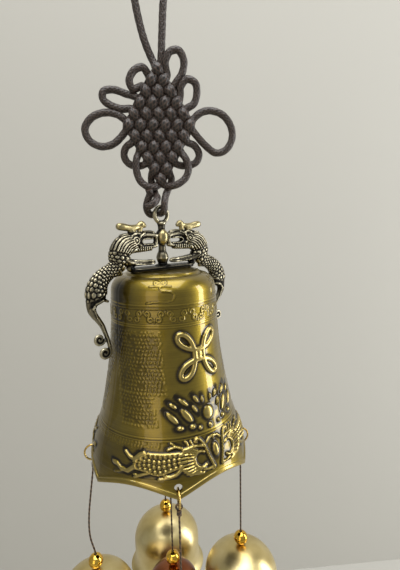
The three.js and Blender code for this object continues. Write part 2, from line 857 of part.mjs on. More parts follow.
// The whole route from one tail's end to the other, in the order that the cord runs
const backwards = (points) => [...points].reverse();
const cordRuns = [
  backwards(rightTail),
  backwards(strand("falling", 4)),
  backwards(ears.upperLeft),
  strand("falling", 3),
  backwards(ears.lowerRight),
  backwards(strand("falling", 1)),
  ears.topLeft,
  strand("falling", 2),
  ears.bottomRight,
  backwards(strand("falling", 5)),
  ears.left,
  backwards(strand("rising", 0)),
  hangingLoop,
  strand("falling", 0),
  backwards(ears.right),
  strand("rising", 5),
  backwards(ears.bottomLeft),
  backwards(strand("rising", 2)),
  backwards(ears.topRight),
  strand("rising", 1),
  ears.lowerLeft,
  backwards(strand("rising", 3)),
  ears.upperRight,
  strand("rising", 4),
  leftTail,
];

// Pulled tight, the soft cord presses into itself where it crosses, so its lengths are joined there
function knottedCord() {
  const sides = 5;
  const stepLength = 3.6;
  const points = cordRuns.flat();
  const route = new THREE.CatmullRomCurve3(points, false, "centripetal");
  const spans = points.length - 1;
  const stations = [];
  const cuts = [];
  let first = 0;
  const starts = cordRuns.map((run) => {
    const start = first;
    first += run.length;
    return start;
  });
  for (let span = 0; span < spans; span++) {
    if (starts.includes(span)) cuts.push(stations.length);
    const length = points[span].distanceTo(points[span + 1]);
    const steps = Math.max(1, Math.round(length / stepLength));
    for (let k = 0; k < steps; k++) stations.push((span + k / steps) / spans);
  }
  stations.push(1);
  cuts.push(stations.length - 1);
  const rings = [];
  const normal = point(0, 1, 0);
  for (const station of stations) {
    const centre = route.getPoint(station);
    const tangent = route.getTangent(station);
    normal.addScaledVector(tangent, -normal.dot(tangent)).normalize();
    const binormal = tangent.clone().cross(normal);
    const ring = [];
    for (let side = 0; side < sides; side++) {
      const angle = (side / sides) * 2 * Math.PI;
      const across = normal.clone().multiplyScalar(Math.cos(angle));
      across.addScaledVector(binormal, Math.sin(angle));
      ring.push(centre.clone().addScaledVector(across, cordDiameter / 2));
    }
    rings.push({ centre, ring });
  }
  const pieces = cuts.slice(1).map((to, k) => cordLength(rings.slice(cuts[k], to + 1)));
  // A pocket that closes between strands pressed together fills with cord
  const whole = join(pieces);
  return join(whole.decompose().filter((body) => body.volume() > 0));
}

function cordLength(rings) {
  const sides = rings[0].ring.length;
  const positions = rings.flatMap(({ ring }) => ring.flatMap((corner) => corner.toArray()));
  const faces = [];
  const ends = [positions.length / 3, positions.length / 3 + 1];
  positions.push(...rings[0].centre.toArray(), ...rings[rings.length - 1].centre.toArray());
  for (let side = 0; side < sides; side++) {
    const beside = (side + 1) % sides;
    for (let step = 0; step < rings.length - 1; step++) {
      const [a, b] = [step * sides + side, step * sides + beside];
      faces.push(a, b, b + sides, a, b + sides, a + sides);
    }
    const last = (rings.length - 1) * sides;
    faces.push(beside, side, ends[0], last + side, last + beside, ends[1]);
  }
  const geometry = new THREE.BufferGeometry();
  geometry.setAttribute("position", new THREE.Float32BufferAttribute(positions, 3));
  geometry.setIndex(faces);
  return solid(geometry);
}

// The assembly
addMesh("knot_cord", knottedCord(), "braidedCord");
addMesh("bell_shell", bellShell(), "agedBrass");
addMesh("dragon_handle", handle(), "darkBronze");
addMesh("fixing_bolt", fixingBolt(), "steel");
addMesh("washer", washer(), "steel");

for (const hanger of hangers) {
  const place = around(hanger.angle).multiplyScalar(hanger.hangRadius);
  const group = new THREE.Group();
  group.position.set(place.x, place.y, hanger.ringHeight);
  chime.add(group);
  const ring = addMesh("ring_" + hanger.name, jumpRing(ringRadius, ringWire), "ringBrass", group);
  ring.rotation.z = radians(hanger.angle + 90);
  const below = new THREE.Group();
  below.position.z = -ringRadius;
  group.add(below);
  addPendant(hanger.name, below, {
    length: threadDrop,
    angle: hanger.angle,
    bell: { radius: smallRadius, lipRadius: smallLipRadius, height: smallHeight },
    finish: "paleGold",
    route: hanger.name === "left" ? bowedRoute : straightRoute,
  });
}

const middle = new THREE.Group();
middle.position.z = middleRingHeight;
chime.add(middle);
addMesh("ring_middle", jumpRing(middleRingRadius, ringWire), "ringBrass", middle).rotation.z = Math.PI / 2;
const belowMiddle = new THREE.Group();
belowMiddle.position.z = -middleRingRadius;
middle.add(belowMiddle);
addPendant("middle", belowMiddle, {
  length: middleWireHeight - middleBeadHeight - beadRadius,
  angle: 0,
  bell: { radius: middleRadius, lipRadius: middleLipRadius, height: middleHeight },
  finish: "copper",
});

export default chime;
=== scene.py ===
# Hanging bell chime: a cast bell on a knotted cord, with small bells on thin cords.
# Sizes are in millimetres and become metres through mm(); heights count up from the rim's points.
from math import acos, atan2, cos, degrees, pi, radians, sin, sqrt

import bmesh
import bpy
import numpy as np
from mathutils import Matrix, Vector


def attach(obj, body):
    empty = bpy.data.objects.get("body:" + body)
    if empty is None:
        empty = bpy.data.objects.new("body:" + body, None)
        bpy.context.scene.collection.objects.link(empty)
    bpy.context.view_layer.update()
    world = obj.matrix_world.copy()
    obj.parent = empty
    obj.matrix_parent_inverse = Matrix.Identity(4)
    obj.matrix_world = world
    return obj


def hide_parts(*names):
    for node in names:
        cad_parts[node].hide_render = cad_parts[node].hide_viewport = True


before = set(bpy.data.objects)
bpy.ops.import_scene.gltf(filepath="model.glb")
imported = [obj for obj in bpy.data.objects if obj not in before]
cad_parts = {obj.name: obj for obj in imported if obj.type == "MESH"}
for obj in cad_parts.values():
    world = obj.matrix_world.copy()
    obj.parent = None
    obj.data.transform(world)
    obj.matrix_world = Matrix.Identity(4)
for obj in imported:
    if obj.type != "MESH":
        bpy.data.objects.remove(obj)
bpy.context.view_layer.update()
hangHeight = 224


def mm(x, y, z):
    return Vector((x, y, z - hangHeight)) * 0.001


def aroundAxis(angle, radius, height):
    turn = radians(angle)
    return mm(radius * sin(turn), -radius * cos(turn), height)


# Camera at the photograph's place, 35 degrees to the left of the relief
cameraView = {
    "distance": 188.35,
    "height": 112.34,
    "turn": -35,
    "yaw": 5.15,
    "pitch": 9.24,
    "roll": -1.16,
    "focalPixels": 411,
    "longSidePixels": 570,
    "sensorWidth": 36,
}


def makeCamera(view):
    yaw, pitch, roll, turn = (radians(view[name]) for name in ("yaw", "pitch", "roll", "turn"))
    forward = Vector((sin(yaw) * cos(pitch), cos(yaw) * cos(pitch), -sin(pitch)))
    right = Vector((cos(yaw), -sin(yaw), 0))
    up = right.cross(forward)
    axes = (right * cos(roll) + up * sin(roll), up * cos(roll) - right * sin(roll), -forward)
    turned = Matrix.Rotation(turn, 3, "Z")
    place = turned @ Vector((0, -view["distance"], 0))
    bpy.ops.object.camera_add()
    camera = bpy.context.object
    camera.name = "PhotographCamera"
    basis = Matrix([turned @ axis for axis in axes]).transposed().to_4x4()
    camera.matrix_world = Matrix.Translation(mm(place.x, place.y, view["height"])) @ basis
    camera.data.sensor_width = view["sensorWidth"]
    camera.data.lens = view["sensorWidth"] * view["focalPixels"] / view["longSidePixels"]
    camera.data.clip_start = 0.005
    bpy.context.scene.camera = camera


makeCamera(cameraView)
print("camera placed")


# Small helpers
def deselectAll():
    if bpy.context.object and bpy.context.object.mode != "OBJECT":
        bpy.ops.object.mode_set(mode="OBJECT")
    bpy.ops.object.select_all(action="DESELECT")


def pick(piece):
    deselectAll()
    piece.select_set(True)
    bpy.context.view_layer.objects.active = piece


# Linear colour from its usual code
def hexColor(code):
    channels = [int(code[k : k + 2], 16) / 255 for k in (1, 3, 5)]
    return [c / 12.92 if c <= 0.04045 else ((c + 0.055) / 1.055) ** 2.4 for c in channels] + [1]


def mix(a, b, share):
    return a + (b - a) * share


def smoothStep(low, high, value):
    share = np.clip((value - low) / (high - low), 0, 1)
    return share * share * (3 - 2 * share)


# Rises from 0 to 1 over the first pair of values and falls back over the second
def between(value, rise, fall):
    return smoothStep(*rise, value) * (1 - smoothStep(*fall, value))


# Adds a ready made mesh of one kind, such as a plane or a cylinder
def addMesh(kind, name, **settings):
    deselectAll()
    getattr(bpy.ops.mesh, f"primitive_{kind}_add")(**settings)
    piece = bpy.context.object
    piece.name = name
    return piece


# radius and half, which is half the wire's thickness, are in millimetres
def addTorus(name, radius, half, around, across, **settings):
    radii = {"major_radius": radius * 0.001, "minor_radius": half * 0.001}
    return addMesh("torus", name, major_segments=around, minor_segments=across, **radii, **settings)


def linkObject(name, data):
    piece = bpy.data.objects.new(name, data)
    bpy.context.collection.objects.link(piece)
    return piece


def applyModifier(piece, kind, **settings):
    pick(piece)
    modifier = piece.modifiers.new(kind.title(), kind)
    for name, value in settings.items():
        setattr(modifier, name, value)
    bpy.ops.object.modifier_apply(modifier=modifier.name)


# Each input is set to a value, or linked to a node's first output or to the named one of (node, output)
def setInputs(node, inputs):
    for name, value in inputs.items():
        pair = value if isinstance(value, tuple) else (value, 0)
        if isinstance(pair[0], bpy.types.Node):
            node.id_data.links.new(pair[0].outputs[pair[1]], node.inputs[name])
        else:
            node.inputs[name].default_value = value


# stops are a ramp's colours
def addNode(tree, kind, inputs=None, stops=None, **settings):
    node = tree.nodes.new("ShaderNode" + kind)
    for name, value in settings.items():
        setattr(node, name, value)
    setInputs(node, inputs or {})
    if stops:
        elements = node.color_ramp.elements
        elements[0].position, elements[1].position = stops[0][0], stops[-1][0]
        elements[0].color, elements[1].color = hexColor(stops[0][1]), hexColor(stops[-1][1])
        for position, code in stops[1:-1]:
            elements.new(position).color = hexColor(code)
    return node


def calculate(tree, operation, *inputs):
    return addNode(tree, "Math", dict(enumerate(inputs)), operation=operation)


def newMaterial(name):
    material = bpy.data.materials.new(name)
    material.use_nodes = True
    tree = material.node_tree
    return material, tree, tree.nodes["Principled BSDF"]


# A smooth curve through all the points, cut into steps of about one length
def smoothPath(points, step):
    ends = [points[0] * 2 - points[1], *points, points[-1] * 2 - points[-2]]
    path = []
    for k in range(1, len(ends) - 2):
        p0, p1, p2, p3 = ends[k - 1 : k + 3]
        t1, t2, t3 = (max((b - a).length ** 0.5, 1e-6) for a, b in ((p0, p1), (p1, p2), (p2, p3)))
        m1 = ((p1 - p0) / t1 - (p2 - p0) / (t1 + t2) + (p2 - p1) / t2) * t2
        m2 = ((p2 - p1) / t2 - (p3 - p1) / (t2 + t3) + (p3 - p2) / t3) * t2
        count = max(1, round((p2 - p1).length / step))
        for i in range(count):
            t = i / count
            square, cube = t * t, t * t * t
            path.append(
                p1 * (2 * cube - 3 * square + 1)
                + m1 * (cube - 2 * square + t)
                + p2 * (3 * square - 2 * cube)
                + m2 * (cube - square)
            )
    path.append(points[-1].copy())
    return path


def pathLength(path):
    return sum((b - a).length for a, b in zip(path, path[1:]))


# A closed tube along a path. radiusAt(around, along, k) gives its radius towards facing and sideways,
# and its UV map has U once around and V in millimetres along it.
def tubeAlong(name, path, radiusAt, sides, facing=None):
    mesh = bpy.data.meshes.new(name)
    piece = linkObject(name, mesh)
    shape = bmesh.new()
    uvMap = shape.loops.layers.uv.new("UVMap")
    rings, lengths = [], []
    normal = facing or Vector((0.1, 1, 0.2))
    travelled = 0
    for k, centre in enumerate(path):
        tangent = (path[min(k + 1, len(path) - 1)] - path[max(k - 1, 0)]).normalized()
        reference = facing or normal
        normal = (reference - tangent * reference.dot(tangent)).normalized()
        binormal = tangent.cross(normal)
        if k:
            travelled += (centre - path[k - 1]).length
        lengths.append(travelled * 1000)
        ring = []
        for side in range(sides):
            angle = 2 * pi * side / sides
            outwards, sideways = radiusAt(side / sides, travelled * 1000, k)
            across = normal * (cos(angle) * outwards) + binormal * (sin(angle) * sideways)
            ring.append(shape.verts.new(centre + across * 0.001))
        rings.append(ring)
    for k, (lower, upper) in enumerate(zip(rings, rings[1:])):
        for side in range(sides):
            beside = (side + 1) % sides
            face = shape.faces.new((lower[side], lower[beside], upper[beside], upper[side]))
            face.smooth = True
            corners = ((side, k), (side + 1, k), (side + 1, k + 1), (side, k + 1))
            for loop, (u, at) in zip(face.loops, corners):
                loop[uvMap].uv = (u / sides, lengths[at])
    shape.faces.new(list(reversed(rings[0])))
    shape.faces.new(rings[-1])
    shape.to_mesh(mesh)
    shape.free()
    return piece


# Materials. Braided nylon cord, satin: colour painted lighter along the plaits and darker between them, as
# painted highlight and shade.
def makeBraidedCord():
    material, tree, shader = newMaterial("BraidedNylonCord")
    place = addNode(tree, "UVMap", uv_map="UVMap")
    parts = addNode(tree, "SeparateXYZ", {"Vector": place})
    around = calculate(tree, "MULTIPLY", (parts, "X"), 2 * pi * cordShape["plaits"])
    along = calculate(tree, "MULTIPLY", (parts, "Y"), 2 * pi / cordShape["plaitLength"])
    waves = [calculate(tree, "COSINE", calculate(tree, way, around, along)) for way in ("ADD", "SUBTRACT")]
    plait = calculate(tree, "MAXIMUM", *waves)
    # Filaments, drawn 0.6 mm wide so that they show
    filaments = addNode(tree, "Mapping", {"Vector": place, "Scale": (16, 0.9, 1)})
    fibre = addNode(tree, "TexNoise", {"Vector": filaments, "Scale": 1, "Detail": 2})
    # Colour lighter on the plaits' crests and darker between them: painted highlight and shade over the
    # fibre's own grain
    shadedFibre = calculate(tree, "MULTIPLY_ADD", plait, fibre, fibre)
    ramp = addNode(tree, "ValToRGB", {"Fac": shadedFibre}, [(0.2, "#090605"), (0.6, "#1B1310"), (0.92, "#41332B")])
    bump = addNode(tree, "Bump", {"Height": shadedFibre, "Strength": 0.6, "Distance": 0.0002})
    setInputs(shader, {"Base Color": ramp, "Normal": bump, "Roughness": 0.36})
    setInputs(shader, {"Sheen Weight": 0.1, "Sheen Roughness": 0.4})
    return material


# Waxed thread, twisted from two plies: dark brown, dull, painted darker in a slanting line at each turn of
# the twist and lighter on the plies, as painted shade and highlight
def makeWaxedThread():
    material, tree, shader = newMaterial("WaxedTwistedThread")
    parts = addNode(tree, "SeparateXYZ", {"Vector": addNode(tree, "UVMap", uv_map="UVMap")})
    around = calculate(tree, "MULTIPLY", (parts, "X"), 2 * 2 * pi)
    phase = calculate(tree, "MULTIPLY_ADD", (parts, "Y"), 2 * pi / threadShape["twistLength"], around)
    # Painted shade in the slanting groove at each turn of the twist, painted highlight on the plies
    ply = calculate(tree, "COSINE", phase)
    ramp = addNode(tree, "ValToRGB", {"Fac": ply}, [(0, "#2C1F14"), (0.5, "#4C3722"), (1, "#6A5033")])
    setInputs(shader, {"Base Color": ramp, "Roughness": 0.45})
    return material


# Noise in patches, and in lines that lie round the piece, as polishing and brushing leave them
def addGrain(tree, patchScale, patchDetail, lineScale, lineDetail):
    place = (addNode(tree, "TexCoord"), "Object")
    patches = addNode(tree, "TexNoise", {"Vector": place, "Scale": patchScale, "Detail": patchDetail})
    lines = addNode(tree, "Mapping", {"Vector": place, "Scale": lineScale})
    return patches, addNode(tree, "TexNoise", {"Vector": lines, "Scale": 1, "Detail": lineDetail})


def addRange(tree, value, low, high, first, last):
    ends = {"From Min": low, "From Max": high, "To Min": first, "To Max": last}
    return addNode(tree, "MapRange", {"Value": value, **ends})


# A polished or plated metal. tones are its darker and lighter colour, roughness its smoothest and dullest,
# grain the height in millimetres of the fine lines that polishing left round it.
def makeMetal(name, tones, roughness, grain):
    material, tree, shader = newMaterial(name)
    # Tarnish in soft patches about 12 mm across, polishing lines about 0.4 mm apart
    patches, brushed = addGrain(tree, 80, 3, (60, 60, 2500), 2)
    colour = addNode(tree, "ValToRGB", {"Fac": patches}, [(0.35, tones[0]), (0.65, tones[1])])
    dull = addRange(tree, calculate(tree, "MULTIPLY", patches, brushed), 0.15, 0.4, *roughness)
    bump = addNode(tree, "Bump", {"Height": brushed, "Strength": 0.6, "Distance": grain * 0.001})
    setInputs(shader, {"Base Color": colour, "Roughness": dull, "Normal": bump, "Metallic": 1})
    return material


# Cast metal with a dark wash left in its hollows. The attribute soot says where the wash lies, and on the
# bell also where a painted dark strip stands for the handle dragons' shade and reflection; wear says where it
# is rubbed off; stops are the colours from the wash to the worn edges, and where polish is 1 the piece is the
# bright metal.
def makeWashedMetal(name, stops, bright, roughness, brushing, coat):
    material, tree, shader = newMaterial(name)
    layers = [(addNode(tree, "Attribute", attribute_name=kind), "Fac") for kind in ("soot", "wear", "polish")]
    soot, wear, polish = layers
    # Uneven wash, in patches about 6 mm across
    patches, brushed = addGrain(tree, 160, 4, (45, 45, 2600), 4)
    kept = calculate(tree, "SUBTRACT", wear, soot)
    level = calculate(tree, "MULTIPLY_ADD", kept, 0.5, 0.42 - brushing / 2)
    uneven = calculate(tree, "MULTIPLY_ADD", patches, 0.16, level)
    shade = calculate(tree, "MULTIPLY_ADD", brushed, brushing, uneven)
    colour = addNode(tree, "ValToRGB", {"Fac": shade}, stops)
    clean = addNode(tree, "Mix", {0: polish, 6: colour, 7: hexColor(bright)}, data_type="RGBA")
    dull = addRange(tree, shade, 0.2, 0.8, roughness[1], roughness[0])
    bump = addNode(tree, "Bump", {"Height": brushed, "Strength": 0.5, "Distance": 0.00002})
    setInputs(shader, {"Base Color": (clean, 2), "Roughness": dull, "Normal": bump, "Metallic": 1})
    setInputs(shader, {"Coat Weight": coat, "Coat Roughness": 0.05})
    return material


# Knotted cord: the same route as its solid. pressed is how much wider it is where it is pressed flat.
cordShape = {
    "diameter": 3.2,
    "turn": -35,
    "strands": 6,
    "step": 2.65,
    "drop": 4.58,
    "top": 175.3,
    "middle": 0.6,
    "lift": 1.5,
    "plaits": 8,
    "plaitLength": 1.9,
    "ridge": 0.05,
    "pressed": 0.46,
    "pathStep": 0.55,
    "sides": 18,
}


def knotPlace(across, height, out=0):
    turn = radians(cordShape["turn"])
    return mm(across * cos(turn) + out * sin(turn), across * sin(turn) - out * cos(turn), height)


# A slanting strand of the knot, which goes over and under the strands that it crosses in turn
def strand(kind, number):
    points = []
    for half in range(-1, 2 * cordShape["strands"]):
        k = half / 2
        out = 0
        if half % 2 == 0:
            even = (half // 2 + number) % 2 == 0
            out = cordShape["lift"] * (1 if even == (kind == "falling") else -1)
        falling, rising = (number, k) if kind == "falling" else (k, number)
        across = cordShape["middle"] + (rising - falling) * cordShape["step"]
        points.append(knotPlace(across, cordShape["top"] - (rising + falling) * cordShape["drop"], out))
    return points


def ear(*places):
    return [knotPlace(*place) for place in places]


ears = {
    "topLeft": ear((-5.6, 175.6, 1.2), (-9.2, 174.2, 1.6), (-11.4, 170.2, 1.6), (-10, 167, 1.2)),
    "upperLeft": ear(
        (-13, 165.6, -1.2), (-18.4, 167.2, -0.8), (-22.6, 166.2), (-22.8, 163), (-19, 160.3), (-15, 159.2)
    ),
    "left": ear(
        (-18, 157.2), (-23.3, 157.6), (-28.4, 155.4), (-31.2, 151), (-29.6, 146.3), (-25, 143.8),
        (-19.5, 144.8),
    ),
    "lowerLeft": ear((-14.2, 143.4, -0.6), (-15.2, 140, -1), (-13.6, 136.9, -1.4), (-10, 135.6, -1.8)),
    "bottomLeft": ear((-9.8, 138, 1.2), (-10, 133.5, 1.4), (-8.4, 128.8, 1.6), (-4.6, 126.2, 1.8)),
    "topRight": ear((4, 177.6, 0.8), (6, 181.8, 1.2), (9.6, 182.6, 1), (11.8, 179, 0.8), (11.2, 174, 0.4)),
    "upperRight": ear(
        (10.4, 168.4, 0.6), (13.2, 171.2, 0.8), (16.6, 169.6, 0.8), (17.2, 165.4, 0.4), (15.8, 161.4)
    ),
    "right": ear(
        (18.6, 157.6), (23, 158.6), (28.6, 156.7), (32.2, 151.6), (32.4, 146.4), (29.6, 142), (25.2, 140.8),
        (20.4, 144.2),
    ),
    "lowerRight": ear((15.8, 144, -0.6), (17.8, 140.4, -1), (16.4, 137, -1.4), (12, 135.6, -1.8)),
    "bottomRight": ear((11.6, 138.4, 1.2), (12.8, 134, 1.4), (11.2, 129.8, 1.6), (6.4, 126.8, 1.8)),
}
hangingLoop = ear(
    (3, 189), (4.2, 203), (6.8, 214), (6, 221.5), (0, 225.6), (-6.2, 221.5), (-8.8, 213), (-7.8, 202),
    (-4.6, 187),
)
threadedHeight = 114.8


# The tails' ends at the handle's eye, with heights counted from the cord's way through it
def besideEye(*places):
    return [mm(x, y, threadedHeight + up) for x, y, up in places]


rightTail = ear((5.2, 129.4, -1.4), (3.9, 126, -1.6), (2.4, 122.6, 0.4)) + besideEye(
    (0, -2.95, 4.4), (0, -2.337, 1.2), (0, 0, 0), (0, 2.565, 0.2), (-2.2, 4.45, -0.6), (-4.6, 4.25, 1.6),
    (-5.4, 2.65, 5), (-4.6, 1.45, 8.4), (-5.6, 0.65, 10.6),
)
leftTail = ear((-3.8, 129.4, -1.4), (-3, 126.4, -1.6), (-2.2, 123.4, -0.8)) + besideEye(
    (-2.6, -1.2, 6.4), (-5.4, -1.8, 4), (-7.4, 0.4, 2.6)
)
cordRuns = [
    rightTail[::-1],
    strand("falling", 4)[::-1],
    ears["upperLeft"][::-1],
    strand("falling", 3),
    ears["lowerRight"][::-1],
    strand("falling", 1)[::-1],
    ears["topLeft"],
    strand("falling", 2),
    ears["bottomRight"],
    strand("falling", 5)[::-1],
    ears["left"],
    strand("rising", 0)[::-1],
    hangingLoop,
    strand("falling", 0),
    ears["right"][::-1],
    strand("rising", 5),
    ears["bottomLeft"][::-1],
    strand("rising", 2)[::-1],
    ears["topRight"][::-1],
    strand("rising", 1),
    ears["lowerLeft"],
    strand("rising", 3)[::-1],
    ears["upperRight"],
    strand("rising", 4),
    leftTail,
]


# How far the cord is pressed flat at each point of its route: 1 inside the knot, 0 in the ears
def pressedShare(place):
    turn = radians(cordShape["turn"])
    across = (place.x * cos(turn) + place.y * sin(turn)) * 1000 - cordShape["middle"]
    height = place.z * 1000 + hangHeight - cordShape["top"] + cordShape["drop"] * (cordShape["strands"] - 1)
    across = abs(across) / (cordShape["strands"] * cordShape["step"])
    height = abs(height) / (cordShape["strands"] * cordShape["drop"])
    return 1 - smoothStep(0.8, 1.05, across + height)


# The braid's plaits lift the surface a little where they pass over each other
def braidRadius(around, along, k):
    turns = along / (2 * cordShape["plaitLength"])
    lines = cordShape["plaits"] / 2 * around
    crossing = max(cos(2 * pi * (lines + turns)), cos(2 * pi * (lines - turns)))
    radius = cordShape["diameter"] / 2 + cordShape["ridge"] * (crossing - 0.5)
    flattened = cordShape["pressed"] * pressed[k]
    return radius * (1 - flattened * 0.25), radius * (1 + flattened)


cordPath = smoothPath([place for run in cordRuns for place in run], cordShape["pathStep"] * 0.001)
pressed = [pressedShare(place) for place in cordPath]
knotFacing = (knotPlace(0, 0, 1) - knotPlace(0, 0)).normalized()
knottedCord = tubeAlong("KnottedCord", cordPath, braidRadius, cordShape["sides"], knotFacing)
knottedCord.data.materials.append(makeBraidedCord())
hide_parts("knot_cord")
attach(knottedCord, "cord")
print("cord knotted,", round(pathLength(cordPath) * 1000), "mm long")


# Modelling helpers. A profile holds (radius, height) pairs; its last joins its first where closed is true.
def spinProfile(name, profile, steps, closed=False):
    piece = addMesh("plane", name, size=0.001)
    bpy.ops.object.mode_set(mode="EDIT")
    bpy.ops.mesh.select_all(action="SELECT")
    bpy.ops.mesh.merge(type="CENTER")
    stations = [Vector((radius, 0, height)) * 0.001 for radius, height in profile]
    if closed:
        stations.append(stations[0])
    bpy.ops.transform.translate(value=stations[0])
    for before, after in zip(stations, stations[1:]):
        bpy.ops.mesh.extrude_region_move(TRANSFORM_OT_translate={"value": after - before})
    bpy.ops.mesh.select_all(action="SELECT")
    bpy.ops.mesh.spin(steps=steps, angle=2 * pi, center=(0, 0, 0), axis=(0, 0, 1))
    bpy.ops.mesh.select_all(action="SELECT")
    bpy.ops.mesh.remove_doubles(threshold=2e-6)
    bpy.ops.mesh.dissolve_degenerate(threshold=1e-7)
    bpy.ops.mesh.normals_make_consistent(inside=False)
    bpy.ops.object.mode_set(mode="OBJECT")
    return piece


# Puts the piece's place into its mesh, so that its object sits at the origin
def settle(piece, offset=None, turn=None):
    pick(piece)
    if turn is not None:
        piece.rotation_euler = turn
    if offset is not None:
        piece.location = offset
    bpy.ops.object.transform_apply(location=True, rotation=True, scale=True)


def smooth(piece, angle=40):
    pick(piece)
    bpy.ops.object.shade_smooth_by_angle(angle=radians(angle))


def dress(piece, body, slot, material, *nodes):
    piece.data.materials.clear()
    piece.data.materials.append(material)
    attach(piece, body)
    if nodes:
        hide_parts(*nodes)


# Thin cords from the jump rings to the small bells. The left one bows, and lean is how far out it ends.
hangers = {
    "front": {"angle": -30, "radius": 36.9, "ring": -0.035, "lean": 0},
    "right": {"angle": 60, "radius": 36.4, "ring": 3.104, "lean": 0},
    "back": {"angle": 150, "radius": 36.9, "ring": -0.035, "lean": 0},
    "left": {"angle": 240, "radius": 36.4, "ring": 3.104, "lean": 2.1},
    "middle": {"angle": 0, "radius": 0, "ring": 78.45, "lean": 0},
}
ringShape = {"radius": 3.85, "middleRadius": 2.6, "wire": 0.9}
threadShape = {
    "diameter": 0.9,
    "twistLength": 2.4,
    "drop": 51,
    "middleBead": -60.6,
    "loop": 1.2,
    "bow": 4.2,
    "stopKnot": 1.6,
    "stopKnotWidth": 0.36,
    "stopKnotDepth": 0.6,
    "pathStep": 0.4,
    "sides": 10,
}
whippingShape = {"turns": 3, "pitch": 0.78, "steps": 14, "radius": 0.68, "wire": 0.4, "gap": 0.3}
beadRadius = 3.6
smallWall = 0.8
clearance = 0.3
threadHole = threadShape["diameter"] / 2 + clearance


def ringRadius(name):
    return ringShape["middleRadius"] if name == "middle" else ringShape["radius"]


def ringBottom(name):
    return hangers[name]["ring"] - ringRadius(name)


def beadTop(name):
    if name == "middle":
        return threadShape["middleBead"] + beadRadius
    return ringBottom(name) - threadShape["drop"]


def bellTop(name):
    return beadTop(name) - 2 * beadRadius - clearance


def bodyOf(name):
    return name + "_pendant"


# A place on a hanger's own line, moved outwards from it
def hangPlace(name, height, out=0):
    return aroundAxis(hangers[name]["angle"], hangers[name]["radius"] + out, height)


def threadRoute(lean, bow):
    if not lean:
        return [(0, k / 14) for k in range(15)]
    outs = [bow * share for share in (0, 0.24, 0.58, 0.9, 1)]
    outs += [mix(lean, bow, share) for share in (0.82, 0.3, 0, 0, 0)]
    return list(zip(outs, (0, 0.14, 0.3, 0.47, 0.6, 0.69, 0.77, 0.822, 0.9, 1)))


def evenRadius(radius):
    return lambda around, along, k: (radius, radius)


def twistedRadius(around, along, k):
    ply = cos(2 * pi * (2 * around + along / threadShape["twistLength"]))
    radius = threadShape["diameter"] / 2 * (0.95 + 0.09 * ply)
    return radius, radius


# A ring that stands upright, turned about the vertical by angle degrees
def uprightRing(name, place, angle, radius, wire, *segments):
    ring = addTorus(name, radius, wire / 2, *segments)
    settle(ring, None, (pi / 2, 0, 0))
    settle(ring, place, (0, 0, radians(angle)))
    smooth(ring)
    return ring


# The cord's loop on the ring, its whipping under the loop and the stop knot inside the small bell
def makeThreadEnds(name, top, bottom, lean, finish):
    shape, coil, tied = whippingShape, [], []
    place = hangPlace(name, top)
    thickness = threadShape["diameter"]
    angle = hangers[name]["angle"]
    loop = uprightRing("ThreadLoop" + name.title(), place, angle, threadShape["loop"], thickness, 32, 10)
    for k in range(shape["turns"] * shape["steps"] + 1):
        turn = 2 * pi * k / shape["steps"]
        height = top - threadShape["loop"] - shape["gap"] - k / shape["steps"] * shape["pitch"]
        coil.append(hangPlace(name, height) + Vector((cos(turn), sin(turn), 0)) * shape["radius"] * 0.001)
    for k in range(49):
        turn = 2 * pi * k / 48
        x = (sin(turn) + 2 * sin(2 * turn)) * threadShape["stopKnotWidth"]
        y = (cos(turn) - 2 * cos(2 * turn)) * threadShape["stopKnotWidth"]
        z = -sin(3 * turn) * threadShape["stopKnotDepth"]
        tied.append(hangPlace(name, bottom, lean) + Vector((x, y, z)) * 0.001)
    whipping = tubeAlong("ThreadWhipping" + name.title(), coil, evenRadius(shape["wire"]), 8)
    stopKnot = tubeAlong("StopKnot" + name.title(), tied, evenRadius(thickness / 2), 8)
    for piece in (loop, whipping, stopKnot):
        dress(piece, bodyOf(name), "thread", finish)


waxedThread = makeWaxedThread()
# Each thin cord and its path, for the pendants further down
threads = {}
for name, hanger in hangers.items():
    top = ringBottom(name)
    bottom = bellTop(name) - smallWall - clearance - threadShape["stopKnot"]
    points = []
    for out, share in threadRoute(hanger["lean"], threadShape["bow"]):
        points.append(hangPlace(name, top - max(threadShape["loop"], share * (top - bottom)), out))
    path = smoothPath(points, threadShape["pathStep"] * 0.001)
    thread = tubeAlong("Thread" + name.title(), path, twistedRadius, threadShape["sides"])
    dress(thread, bodyOf(name), "thread", waxedThread, "thread_" + name)
    makeThreadEnds(name, top, bottom, hanger["lean"], waxedThread)
    threads[name] = {"piece": thread, "path": path}
print("thin cords hung")


# Big bell: cast brass with a scalloped mouth, turned and brushed, with a dark wash round its reliefs
bellShape = {
    "mouthRadius": 38,
    "shoulderRadius": 23.9,
    "shoulderHeight": 81,
    "shoulderFullness": 0.85,
    "crownHeight": 89.4,
    "crownDrop": 1.3,
    "crownDisc": 16.8,
    "crownEdge": 18.3,
    "wall": 1.5,
    "lobes": 6,
    "lobeRise": 4.85,
    "flatShare": 0.12,
    "lipHeight": 2.1,
    "lipProud": 0.5,
    "rimPoint": -30,
    "scallopHeight": 23,
    "boltHole": 1.8,
    "ringHole": 1.75,
    "holeDistance": 36.5,
    "holeHeights": {"front": 4.6, "right": 7.6, "back": 4.6, "left": 7.6},
    "underShoulder": [(21.6, 84.6, 0, 0), (20.5, 86.3, 0, 0)],
    "columns": 360,
}
# Side from the shoulder to the mouth, as (share of the height, share of the flare)
sideShares = [(1, 0), (0.765, 0.064), (0.58, 0.191), (0.346, 0.468), (0.14, 0.844), (0.037, 0.965), (0, 1)]


